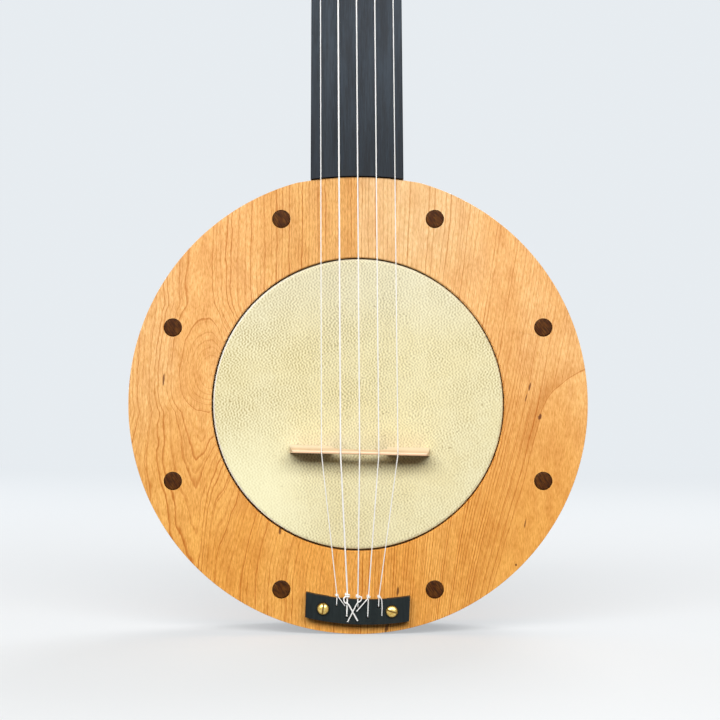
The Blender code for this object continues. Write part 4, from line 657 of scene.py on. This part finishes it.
def brass():
    """The tailpiece screws: brass, with shade painted browner towards the rims of their heads, and darker in the
    slots.
    """
    look = Look("brass_screw", 0.24, 1.0)
    x, y, z = look.axes()
    away = 1.0
    for node in ("tailpiece_screw_1", "tailpiece_screw_2"):
        low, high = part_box(node)
        middle = (low + high) / 2
        near = distance(look, look.maths("SUBTRACT", x, middle.x), look.maths("SUBTRACT", z, middle.z))
        away = look.maths("MINIMUM", near, away)
    tarnish = look.noise(look.scaled((700.0, 700.0, 700.0)), detail=4.0)
    colour = look.mix(look.between(tarnish, 0.35, 0.65), srgb(250, 222, 138), srgb(212, 174, 90))
    # Painted shade: the heads are painted browner towards their rims, where the domes turn away from the light.
    colour = look.mix(look.between(away, 2.4 * MM, 3.8 * MM, 0.0, 0.9), colour, srgb(112, 78, 28))
    # The slots, sunk below the dome's surface, are painted darker.
    share = look.maths("DIVIDE", away, SCREW_HEAD_RADIUS)
    dome = look.maths("SQRT", look.maths("MAXIMUM", look.maths("SUBTRACT", 1.0, look.maths("MULTIPLY", share, share)), 0.0))
    surface = look.maths("ADD", low.y, look.maths("MULTIPLY", look.maths("SUBTRACT", 1.0, dome), SCREW_DOME))
    darker_in_slots = look.between(look.maths("SUBTRACT", y, surface), 0.15 * MM, 0.6 * MM, 0.0, 0.8)
    look.colour(look.mix(darker_in_slots, colour, srgb(100, 68, 26)))
    scratches = look.noise(look.scaled((3000.0, 300.0, 1200.0)), detail=2.0)
    return look.finish(look.between(tarnish, 0.3, 0.7, 0.16, 0.34), look.bump(scratches, 0.006 * MM, 0.4))


def white_nylon():
    look = Look("white_nylon", 0.35)
    twist = look.noise(look.scaled((900.0, 900.0, 200.0)), detail=2.0)
    look.colour(look.mix(look.between(twist, 0.3, 0.7), srgb(255, 255, 255), srgb(250, 250, 248)))
    return look.finish(look.between(twist, 0.3, 0.7, 0.3, 0.42))


EBONY_LIGHT = srgb(58, 64, 71)
EBONY_DARK = srgb(36, 41, 48)
LOOKS = {
    "front_ring": cherry_face(),
    "core_ring": cherry("cherry_core", 60 * MM, 400 * MM, 0.1, 3.0 * MM, 5.1, (250, 240, 228)),
    "back_ring": cherry("cherry_back", -60 * MM, 80 * MM, 0.2, 3.0 * MM, 8.3),
    "neck": cherry("cherry_neck", 8 * MM, 1.4, 0.05, 2.2 * MM, 11.9, (250, 240, 228)),
    "dowel_stick": cherry("cherry_stick", 30 * MM, 0.6, 0.05, 2.0 * MM, 14.2, (250, 242, 232)),
    "fingerboard": ebony_board(),
    "peghead_overlay": dark_wood("ebony_overlay", EBONY_LIGHT, EBONY_DARK, 0.46, seed=4.0),
    "tailpiece": dark_wood("ebony_tailpiece", srgb(33, 41, 42), srgb(20, 26, 28), 0.5, seed=7.0),
    "bridge": pale_maple(),
    "head_skin": hide(),
    "tone_hoop": metal("hoop_steel", srgb(196, 194, 190), srgb(176, 174, 170), 0.34, 60.0),
}
WALNUT = plug_wood()
ROSEWOOD = dark_wood("rosewood_peg", srgb(96, 50, 34), srgb(56, 26, 20), 0.34, 600.0, 30.0, 3.0, 0.5, 0.4)
BONE = bone()
BRASS = brass()
STEEL = metal("steel_screw", srgb(180, 180, 182), srgb(140, 140, 144), 0.36)
NYLON = white_nylon()


def look_of(node):
    """The material that a CAD node and its finer copy wear."""
    if node in LOOKS:
        return LOOKS[node]
    starts = {"plug_": WALNUT, "peg_": ROSEWOOD, "ring_screw_": STEEL, "dowel_end_": STEEL, "tailpiece_screw_": BRASS}
    starts.update({"nut": BONE, "fifth_string_nut": BONE, "string_": NYLON})
    return next(look for start, look in starts.items() if node.startswith(start))


def dress_nodes():
    for node, made in NODES.items():
        for slot in made.material_slots:
            slot.material = look_of(node)


# Finer copies of the CAD nodes: round walls cut finer about their axes, and shaded smooth


WELD = 0.001 * MM
SHARP = math.radians(38)
LEVEL = 0.999
CENTRED = 0.02
NARROWEST = 0.4
HALVINGS = 2
POT_REACH = 145 * MM
POT_FACET = math.radians(9.5)
PLUG_REACH = 6.2 * MM
PLUG_FACET = math.radians(24)
PEG_REACH = 6.0 * MM
PEG_FACET = math.radians(32)
END_SCREW_FACET = math.radians(48)


def facet_middle(edge, back, reach, widest):
    """Where the middle of an edge lies on its turned surface, or None if it spans no facet of one."""
    first, second = (back @ vert.co for vert in edge.verts)
    near, far = sorted((first.xy.length, second.xy.length))
    if near < WELD or far > reach:
        return None
    if not NARROWEST * widest < first.xy.angle(second.xy) < widest:
        return None
    way = (first.xy.normalized() + second.xy.normalized()).normalized()
    side = Vector((-way.y, way.x, 0))
    normals = [back.to_3x3() @ face.normal for face in edge.link_faces]
    if all(abs(normal.z) > LEVEL for normal in normals):
        return None
    if any(abs(normal.dot(side)) > CENTRED for normal in normals):
        return None
    return Vector((*(way * (near + far) / 2), (first.z + second.z) / 2))


def cut_rounder(work, place, reach, widest):
    """Halves the facets of the surfaces turned about a place's Z axis, with the new points on their circles."""
    back = place.inverted()
    for halving in range(HALVINGS):
        work.normal_update()
        middles = [(edge, facet_middle(edge, back, reach, widest / 2**halving)) for edge in work.edges]
        moves = []
        for edge, middle in middles:
            if middle is not None:
                _, point = bmesh.utils.edge_split(edge, edge.verts[0], 0.5)
                moves.append((point, place @ middle))
        bmesh.ops.connect_verts(work, verts=[point for point, _ in moves])
        for point, target in moves:
            point.co = target
        bmesh.ops.triangulate(work, faces=work.faces)


def turns_of(node):
    """The axes that a node's round faces turn about: place, reach and widest facet."""
    low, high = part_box(node)
    upright = Matrix.Translation((low + high) / 2)
    facing = upright @ Matrix.Rotation(math.radians(90), 4, "X")
    if node.startswith(("plug_", "tailpiece_screw_")):
        return [(facing, PLUG_REACH, PLUG_FACET)]
    if node == "dowel_end_screw":
        return [(upright, PLUG_REACH, END_SCREW_FACET)]
    if node in ("neck", "peghead_overlay"):
        return [(peg_frame(number), PEG_REACH, PEG_FACET) for number in range(5)]
    turns = [(POT, POT_REACH, POT_FACET)]
    if node == "front_ring":
        plugs = [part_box(name) for name in NODES if name.startswith("plug_")]
        for low, high in plugs:
            place = Matrix.Translation((low + high) / 2) @ Matrix.Rotation(math.radians(90), 4, "X")
            turns.append((place, PLUG_REACH, PLUG_FACET))
    return turns


def finer(node):
    work = bmesh.new()
    work.from_mesh(NODES[node].data)
    bmesh.ops.remove_doubles(work, verts=work.verts, dist=WELD)
    for turn in turns_of(node):
        cut_rounder(work, *turn)
    for face in work.faces:
        face.smooth = True
    for edge in work.edges:
        edge.smooth = edge.calc_face_angle(0.0) < SHARP
    mesh = bpy.data.meshes.new(f"{node}_fine")
    work.to_mesh(mesh)
    work.free()
    mesh.materials.append(look_of(node))
    made = bpy.data.objects.new(f"{node}_fine", mesh)
    bpy.context.scene.collection.objects.link(made)
    made.modifiers.new("even_normals", "WEIGHTED_NORMAL").keep_sharp = True
    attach(made, BODY_OF[node])
    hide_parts(node)


def finer_nodes():
    kept = ("string_", "ring_screw_", "dowel_stick", "nut", "fingerboard", "peg_")
    for node in NODES:
        if not node.startswith(kept):
            finer(node)


# Pegs: turned shafts with collars, and thumb pieces with rounded rims and dished faces


PEG_COLLAR_RADIUS = 5.4 * MM
PEG_COLLAR_LENGTH = 3.0 * MM
PEG_EDGE = 0.5 * MM
PEG_GRIP_WIDTH = 23.0 * MM
PEG_GRIP_HEIGHT = 21.0 * MM
PEG_GRIP_HALF = 3.75 * MM
PEG_GRIP_ROUND = 2.2 * MM
PEG_GRIP_DISH = 0.8 * MM
PEG_HOLE_RADIUS = 0.95 * MM
PEG_STEPS = 48
GRIP_STEPS = 64
ROUND_STEPS = 5
DISH_STEPS = 6


def arc(middle_radius, middle_height, radius, first, last):
    """Points of a rounded edge, as (radius, height), between two turns in degrees."""
    found = []
    for step in range(ROUND_STEPS + 1):
        turn = math.radians(first + (last - first) * step / ROUND_STEPS)
        found.append((middle_radius + radius * math.cos(turn), middle_height + radius * math.sin(turn)))
    return found


def lathe(profile, steps):
    """A closed shape turned about Z, from a profile of (radius, height) with both ends on the axis."""
    made = bmesh.new()
    rings = []
    for radius, height in profile[1:-1]:
        turns = [math.tau * step / steps for step in range(steps)]
        rings.append([made.verts.new((radius * math.cos(t), radius * math.sin(t), height)) for t in turns])
    for upper, lower in zip(rings, rings[1:]):
        for step in range(steps):
            after = (step + 1) % steps
            made.faces.new((upper[step], lower[step], lower[after], upper[after]))
    for ring, height in ((rings[0], profile[0][1]), (rings[-1], profile[-1][1])):
        tip = made.verts.new((0, 0, height))
        for step in range(steps):
            made.faces.new((ring[step], ring[(step + 1) % steps], tip))
    bmesh.ops.recalc_face_normals(made, faces=made.faces)
    return made


def peg_shaft(length):
    edge, collar = PEG_EDGE, PEG_COLLAR_RADIUS
    base = PEG_TIP_RADIUS + length * PEG_TAPER
    profile = [(0, length)] + arc(PEG_TIP_RADIUS - edge, length - edge, edge, 90, 0)
    profile += [(base, edge)] + arc(base + edge, edge, edge, 180, 270)
    profile += arc(collar - edge, -edge, edge, 90, 0)
    profile += arc(collar - 2 * edge, edge * 2 - PEG_COLLAR_LENGTH, edge * 2, 0, -90)
    return lathe(profile + [(0, -PEG_COLLAR_LENGTH)], PEG_STEPS)


def grip_outline():
    """The thumb piece seen flat, an oval that narrows towards the collar, as (x, z)."""
    points = []
    for step in range(GRIP_STEPS):
        turn = math.tau * step / GRIP_STEPS
        nearness = (1 + math.sin(turn)) / 2
        x = PEG_GRIP_WIDTH / 2 * math.cos(turn) * (1 - 0.45 * nearness**2)
        points.append((x, -PEG_COLLAR_LENGTH - PEG_GRIP_HEIGHT / 2 * (1 - math.sin(turn) * 1.1)))
    return points


def grip_layers():
    """The thumb piece from its rim to the middle of one face, as (share of the outline, thickness)."""
    rim = arc(PEG_GRIP_WIDTH / 2 - PEG_GRIP_ROUND, PEG_GRIP_HALF - PEG_GRIP_ROUND, PEG_GRIP_ROUND, 0, 90)
    layers = [(radius / (PEG_GRIP_WIDTH / 2), height) for radius, height in rim]
    inner = layers[-1][0]
    for step in range(1, DISH_STEPS):
        left = 1 - step / DISH_STEPS
        layers.append((inner * left, PEG_GRIP_HALF - PEG_GRIP_DISH * (1 - left**2) ** 2))
    return layers


def peg_grip():
    made = bmesh.new()
    outline = grip_outline()
    middle = sum(z for _, z in outline) / len(outline)
    front = grip_layers()
    layers = [(share, -thick) for share, thick in reversed(front)] + front
    rings = []
    for share, thick in layers:
        rings.append([made.verts.new((x * share, thick, middle + (z - middle) * share)) for x, z in outline])
    for ring, following in zip(rings, rings[1:]):
        for step in range(GRIP_STEPS):
            after = (step + 1) % GRIP_STEPS
            made.faces.new((ring[step], following[step], following[after], ring[after]))
    for ring in (rings[0], rings[-1]):
        made.faces.new(ring)
    bmesh.ops.recalc_face_normals(made, faces=made.faces)
    return made


def from_shape(name, shape, place):
    mesh = bpy.data.meshes.new(name)
    bmesh.ops.transform(shape, matrix=place, verts=shape.verts)
    shape.to_mesh(mesh)
    shape.free()
    made = bpy.data.objects.new(name, mesh)
    bpy.context.scene.collection.objects.link(made)
    return made


def combined(target, tool, operation):
    """Joins the tool to the target or cuts it out, and removes the tool."""
    step = target.modifiers.new("combine", "BOOLEAN")
    step.operation = operation
    step.solver = "EXACT"
    step.object = tool
    graph = bpy.context.evaluated_depsgraph_get()
    mesh = bpy.data.meshes.new_from_object(target.evaluated_get(graph))
    target.modifiers.clear()
    target.data = mesh
    bpy.data.objects.remove(tool)


def smooth(made):
    for face in made.data.polygons:
        face.use_smooth = True
    made.data.set_sharp_from_angle(angle=SHARP)
    made.modifiers.new("even_normals", "WEIGHTED_NORMAL").keep_sharp = True


def pegs():
    for number in range(5):
        node = f"peg_{5 - number}"
        place = peg_frame(number) @ Matrix.Rotation(PEG_TURNS[number], 4, "Z")
        made = from_shape(f"{node}_fine", peg_shaft(PEG_LENGTHS[number]), place)
        combined(made, from_shape("grip", peg_grip(), place), "UNION")
        reach = 2 * PEG_TIP_RADIUS
        across = place @ Matrix.Translation((0, 0, PEG_HOLES[number])) @ Matrix.Rotation(math.radians(90), 4, "Y")
        rod = lathe([(0, reach), (PEG_HOLE_RADIUS, reach), (PEG_HOLE_RADIUS, -reach), (0, -reach)], 20)
        combined(made, from_shape("hole", rod, across), "DIFFERENCE")
        made.data.materials.clear()
        made.data.materials.append(ROSEWOOD)
        smooth(made)
        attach(made, PEG_BODIES[number])
        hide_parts(node)


# Strings


def bridge_point(number):
    return BRIDGE @ Vector(((number - 2) * BRIDGE_SPACING, 0, BRIDGE_HEIGHT))


def along_neck(string_length, height):
    """How far up the neck a string of this length, stopped at this height, ends."""
    return BRIDGE_IN_NECK.y + math.sqrt(string_length**2 - (height - BRIDGE_IN_NECK.z) ** 2)


def nut_point(number):
    if number == 0:
        up_neck = along_neck(SCALE_LENGTH / 2 ** (5 / 12), FIFTH_STRING_AT_NUT)
        return NECK @ Vector((FIFTH_STRING_AT, up_neck, FIFTH_STRING_AT_NUT))
    x = NUT_STRINGS_MIDDLE + (number - 2.5) * NUT_SPACING
    return NECK @ Vector((x, along_neck(SCALE_LENGTH, STRING_AT_NUT), STRING_AT_NUT))


def peg_frame(number):
    """A peg's own frame at rest: Z along it to its tip, from its joint's point."""
    joint = next(j for j in frame["joints"] if j["child"] == PEG_BODIES[number])
    along = Vector(joint["axis"])
    across = Vector((1, 0, 0)) if number else NECK.to_3x3() @ Vector((0, 0, -1))
    made = Matrix((across, along.cross(across), along)).transposed().to_4x4()
    made.translation = joint["pos_m"]
    return made


def winding_start(number):
    """How far along its peg a string's turns begin."""
    if number == 0:
        return (peg_frame(0).inverted() @ nut_point(0)).z
    return WINDING_STARTS[number]


def winding_radius(number, along):
    return PEG_TIP_RADIUS + (PEG_LENGTHS[number] - along) * PEG_TAPER + STRING_RADII[number] + SNUG


def winding_side(number):
    """1 where a string's turns run anticlockwise, seen from the peg's tip, and -1 where clockwise."""
    return 1 if number in (1, 2) else -1


def first_touch(number):
    """The turn about the peg at which a string meets it."""
    near = peg_frame(number).inverted() @ nut_point(number)
    lean = math.acos(winding_radius(number, winding_start(number)) / near.xy.length)
    return math.atan2(near.y, near.x) + winding_side(number) * lean


def on_peg(number, turn, along):
    radius = winding_radius(number, along)
    return Vector((radius * math.cos(turn), radius * math.sin(turn), along))


def winding_points(number):
    """A ring round the peg, which meets the string at any pose, then close turns and the cross hole."""
    side, start, hole = winding_side(number), winding_start(number), PEG_HOLES[number]
    begin = first_touch(number)
    to_hole = side * (PEG_TURNS[number] - begin)
    total = to_hole + math.pi * math.ceil((LEAST_TURNS * math.tau - to_hole) / math.pi)
    pitch = (2 * STRING_RADII[number] + SNUG) * math.copysign(1, hole - start)
    settled = start + pitch * (total / math.tau - 1)
    count = round(total / math.tau * TURN_STEPS)
    points = []
    for step in range(count):
        wound = total * step / count
        along = start + pitch * max(0.0, wound / math.tau - 1)
        rise = smooth_step((wound - total + math.pi) / math.pi)
        points.append(on_peg(number, begin + side * wound, along + (hole - settled) * rise))
    last = begin + side * total
    outward = Vector((math.cos(last), math.sin(last), 0))
    middle = Vector((0, 0, hole))
    radius = winding_radius(number, hole)
    points.append(middle + outward * (radius - 0.6 * MM))
    points.append(middle - outward * (radius + STRING_END))
    return [peg_frame(number) @ point for point in points]


def smooth_through(points, per_span):
    """Points of a smooth curve through the given ones."""
    ends = [points[0] * 2 - points[1]] + list(points) + [points[-1] * 2 - points[-2]]
    found = []
    for before, here, there, after in zip(ends, ends[1:], ends[2:], ends[3:]):
        for step in range(per_span):
            share = step / per_span
            bend = (2 * before - 5 * here + 4 * there - after) * share**2
            twist = (3 * here - before - 3 * there + after) * share**3
            found.append((2 * here + (there - before) * share + bend + twist) / 2)
    return found + [points[-1]]


def tail_curve(x):
    """How far the curved strip rises above its middle at this distance from it."""
    return TAILPIECE_CURVE_RADIUS - math.sqrt(TAILPIECE_CURVE_RADIUS**2 - x**2)


def tail_hole(number):
    x = (number - 2) * TAIL_HOLE_SPACING
    row = TAIL_HOLE_ROW if number % 2 == 0 else -TAIL_HOLE_ROW
    return Vector((x, tail_curve(x) + row, TAILPIECE_TOP))


def knot_place(number):
    """Where a string's knot sits, and the string's direction there, in the tailpiece's frame."""
    hole, thick = tail_hole(number), STRING_RADII[number]
    edge = tail_curve(hole.x) + TAILPIECE_WIDTH / 2
    knot = Vector((hole.x, edge + KNOT_ABOVE_EDGE, TAILPIECE_TOP + thick + 0.3 * MM))
    along = (TAILPIECE.inverted() @ bridge_point(number) - knot).normalized()
    return knot, along


def run_points(number):
    """The stretched string: out of its hole, over the strip, the bridge and the nut to its peg."""
    hole, thick = tail_hole(number), STRING_RADII[number]
    knot, _ = knot_place(number)
    up = Vector((0, 0, 1))
    over = [
        hole - up * 2.5 * MM,
        hole - up * 0.5 * MM,
        hole + up * (thick + 0.05 * MM) + Vector((0, 0.7 * MM, 0)),
        hole + up * (thick + 0.05 * MM) + Vector((0, 2.0 * MM, 0)),
        knot,
    ]
    tail = [TAILPIECE @ point for point in smooth_through(over, 4)]
    touch = peg_frame(number) @ on_peg(number, first_touch(number), winding_start(number))
    return tail + [bridge_point(number), nut_point(number), touch]


def knot_points(number):
    """The string's return: from under the strip, round itself, and its free end on the strip."""
    hole, thick = tail_hole(number), STRING_RADII[number]
    knot, along = knot_place(number)
    across = Vector((-1, 0, 0))
    across = (across - along * across.dot(along)).normalized()
    upward = along.cross(across)
    if upward.z < 0:
        upward = -upward
    orbit = 2 * thick + KNOT_SLACK
    count = round(KNOT_TURNS * 14)
    wraps = []
    for step in range(count + 1):
        turned_by = KNOT_TURNS * step / count
        turn = math.tau * turned_by - math.pi / 2
        centre = knot + along * ((2 * thick + SNUG) * (KNOT_TURNS - turned_by) - 0.4 * MM)
        wraps.append(centre + across * orbit * math.cos(turn) + upward * orbit * math.sin(turn))
    edge = tail_curve(hole.x) + TAILPIECE_WIDTH / 2
    under = [
        Vector((hole.x, edge - 2.0 * MM, TAIL_UNDER)),
        Vector((hole.x, edge + 0.7 * MM, TAIL_UNDER + 0.4 * MM)),
        Vector((hole.x, edge + 1.3 * MM, TAILPIECE_TOP / 2)),
    ]
    strip = Vector((hole.x, hole.y, TAILPIECE_TOP + thick))
    free = [wraps[-1]] + [strip + Vector(offset) * MM for offset in FREE_ENDS[number]]
    path = smooth_through(under + [wraps[0]], 4)[:-1] + wraps[:-1] + smooth_through(free, 6)
    return [TAILPIECE @ point for point in path]


def tube(name, points, radius, body, node):
    """A string's stretch as a round tube that rides on a body."""
    curve = bpy.data.curves.new(name, "CURVE")
    curve.dimensions = "3D"
    curve.bevel_depth = radius
    curve.bevel_resolution = 3
    curve.use_fill_caps = True
    curve.materials.append(NYLON)
    spline = curve.splines.new("POLY")
    spline.points.add(len(points) - 1)
    for spot, point in zip(spline.points, points):
        spot.co = (*point, 1)
    made = bpy.data.objects.new(name, curve)
    bpy.context.scene.collection.objects.link(made)
    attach(made, body)
    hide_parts(node)
    return made


def strings():
    for number, radius in enumerate(STRING_RADII):
        node = f"string_{5 - number}"
        tube(f"{node}_run", run_points(number), radius, ROOT, node)
        tube(f"{node}_knot", knot_points(number), radius, ROOT, node)
        tube(f"{node}_winding", winding_points(number), radius, PEG_BODIES[number], node)


# Studio


FLOOR_BELOW = 0.2 * MM
BACKDROP = (0.80, 0.84, 0.875, 1.0)


def floor():
    """A pale round floor that fades into the backdrop, and sends little light back at the object."""
    bpy.ops.mesh.primitive_circle_add(vertices=96, radius=6.0, fill_type="NGON")
    made = bpy.context.object
    made.name = "studio_floor"
    made.location.z = CAD_BOX[0].z - FLOOR_BELOW
    look = Look("studio_floor", 0.9)
    path = look.tree.nodes.new("ShaderNodeLightPath")
    seen = look.maths("MAXIMUM", path.outputs["Is Camera Ray"], path.outputs["Is Glossy Ray"])
    seen = look.maths("MAXIMUM", seen, path.outputs["Is Transmission Ray"])
    look.colour(look.mix(seen, (0.09, 0.09, 0.09, 1.0), (0.86, 0.87, 0.88, 1.0)))
    x, y, _ = look.axes()
    away = look.maths("SQRT", look.maths("ADD", look.maths("MULTIPLY", x, x), look.maths("MULTIPLY", y, y)))
    glow = look.node("Emission", {"Color": BACKDROP, "Strength": seen})
    inputs = {0: look.between(away, 0.15, 1.9, 0.5, 1.0), 1: look.shader.outputs[0], 2: glow.outputs[0]}
    mixed = look.node("MixShader", inputs)
    look.tree.links.new(mixed.outputs[0], look.tree.nodes["Material Output"].inputs["Surface"])
    made.data.materials.append(look.material)


def lamp(name, location, target, size, power, colour):
    light = bpy.data.lights.new(name, "AREA")
    light.shape = "RECTANGLE"
    light.size, light.size_y = size
    light.energy = power
    light.color = colour
    made = bpy.data.objects.new(name, light)
    made.location = location
    made.rotation_euler = (Vector(target) - Vector(location)).to_track_quat("-Z", "Y").to_euler()
    made.visible_camera = False
    bpy.context.scene.collection.objects.link(made)


def studio():
    floor()
    world = bpy.data.worlds.new("studio")
    bpy.context.scene.world = world
    world.use_nodes = True
    tree = world.node_tree
    light = tree.nodes["Background"]
    light.inputs["Color"].default_value = (1.0, 0.78, 0.48, 1.0)
    light.inputs["Strength"].default_value = 0.03
    shown = tree.nodes.new("ShaderNodeBackground")
    shown.inputs["Color"].default_value = BACKDROP
    path = tree.nodes.new("ShaderNodeLightPath")
    shown_to = path.outputs["Is Camera Ray"]
    for kind in ("Is Glossy Ray", "Is Transmission Ray"):
        seen = tree.nodes.new("ShaderNodeMath")
        seen.operation = "MAXIMUM"
        tree.links.new(shown_to, seen.inputs[0])
        tree.links.new(path.outputs[kind], seen.inputs[1])
        shown_to = seen.outputs[0]
    mixed = tree.nodes.new("ShaderNodeMixShader")
    tree.links.new(shown_to, mixed.inputs[0])
    tree.links.new(light.outputs[0], mixed.inputs[1])
    tree.links.new(shown.outputs[0], mixed.inputs[2])
    tree.links.new(mixed.outputs[0], tree.nodes["World Output"].inputs["Surface"])
    middle = (0, -0.06, 0.12)
    lamp("key", (-0.05, -1.52, 0.97), middle, (2.7, 0.8), 48.6, (1.0, 0.99, 0.97))
    lamp("rim", (0.6, 1.3, 1.2), (0, 0, 0.3), (1.0, 1.0), 20.0, (1.0, 1.0, 1.0))
    lamp("rim_low", (-1.0, 1.4, 0.5), (0, 0, 0.2), (1.2, 1.2), 14.0, (0.98, 0.99, 1.0))
    bpy.context.scene.view_settings.view_transform = "Standard"


def camera():
    data = bpy.data.cameras.new("photo_camera")
    data.sensor_width = 36.0
    data.lens = data.sensor_width * PHOTO_DISTANCE / PHOTO_WIDTH
    data.clip_start = 0.01
    made = bpy.data.objects.new("photo_camera", data)
    made.location = (PHOTO_MIDDLE_X, RING_FACE - PHOTO_DISTANCE, PHOTO_MIDDLE_Z)
    made.rotation_euler = (math.radians(90), 0, 0)
    bpy.context.scene.collection.objects.link(made)
    bpy.context.scene.camera = made


dress_nodes()
finer_nodes()
pegs()
strings()
studio()
camera()
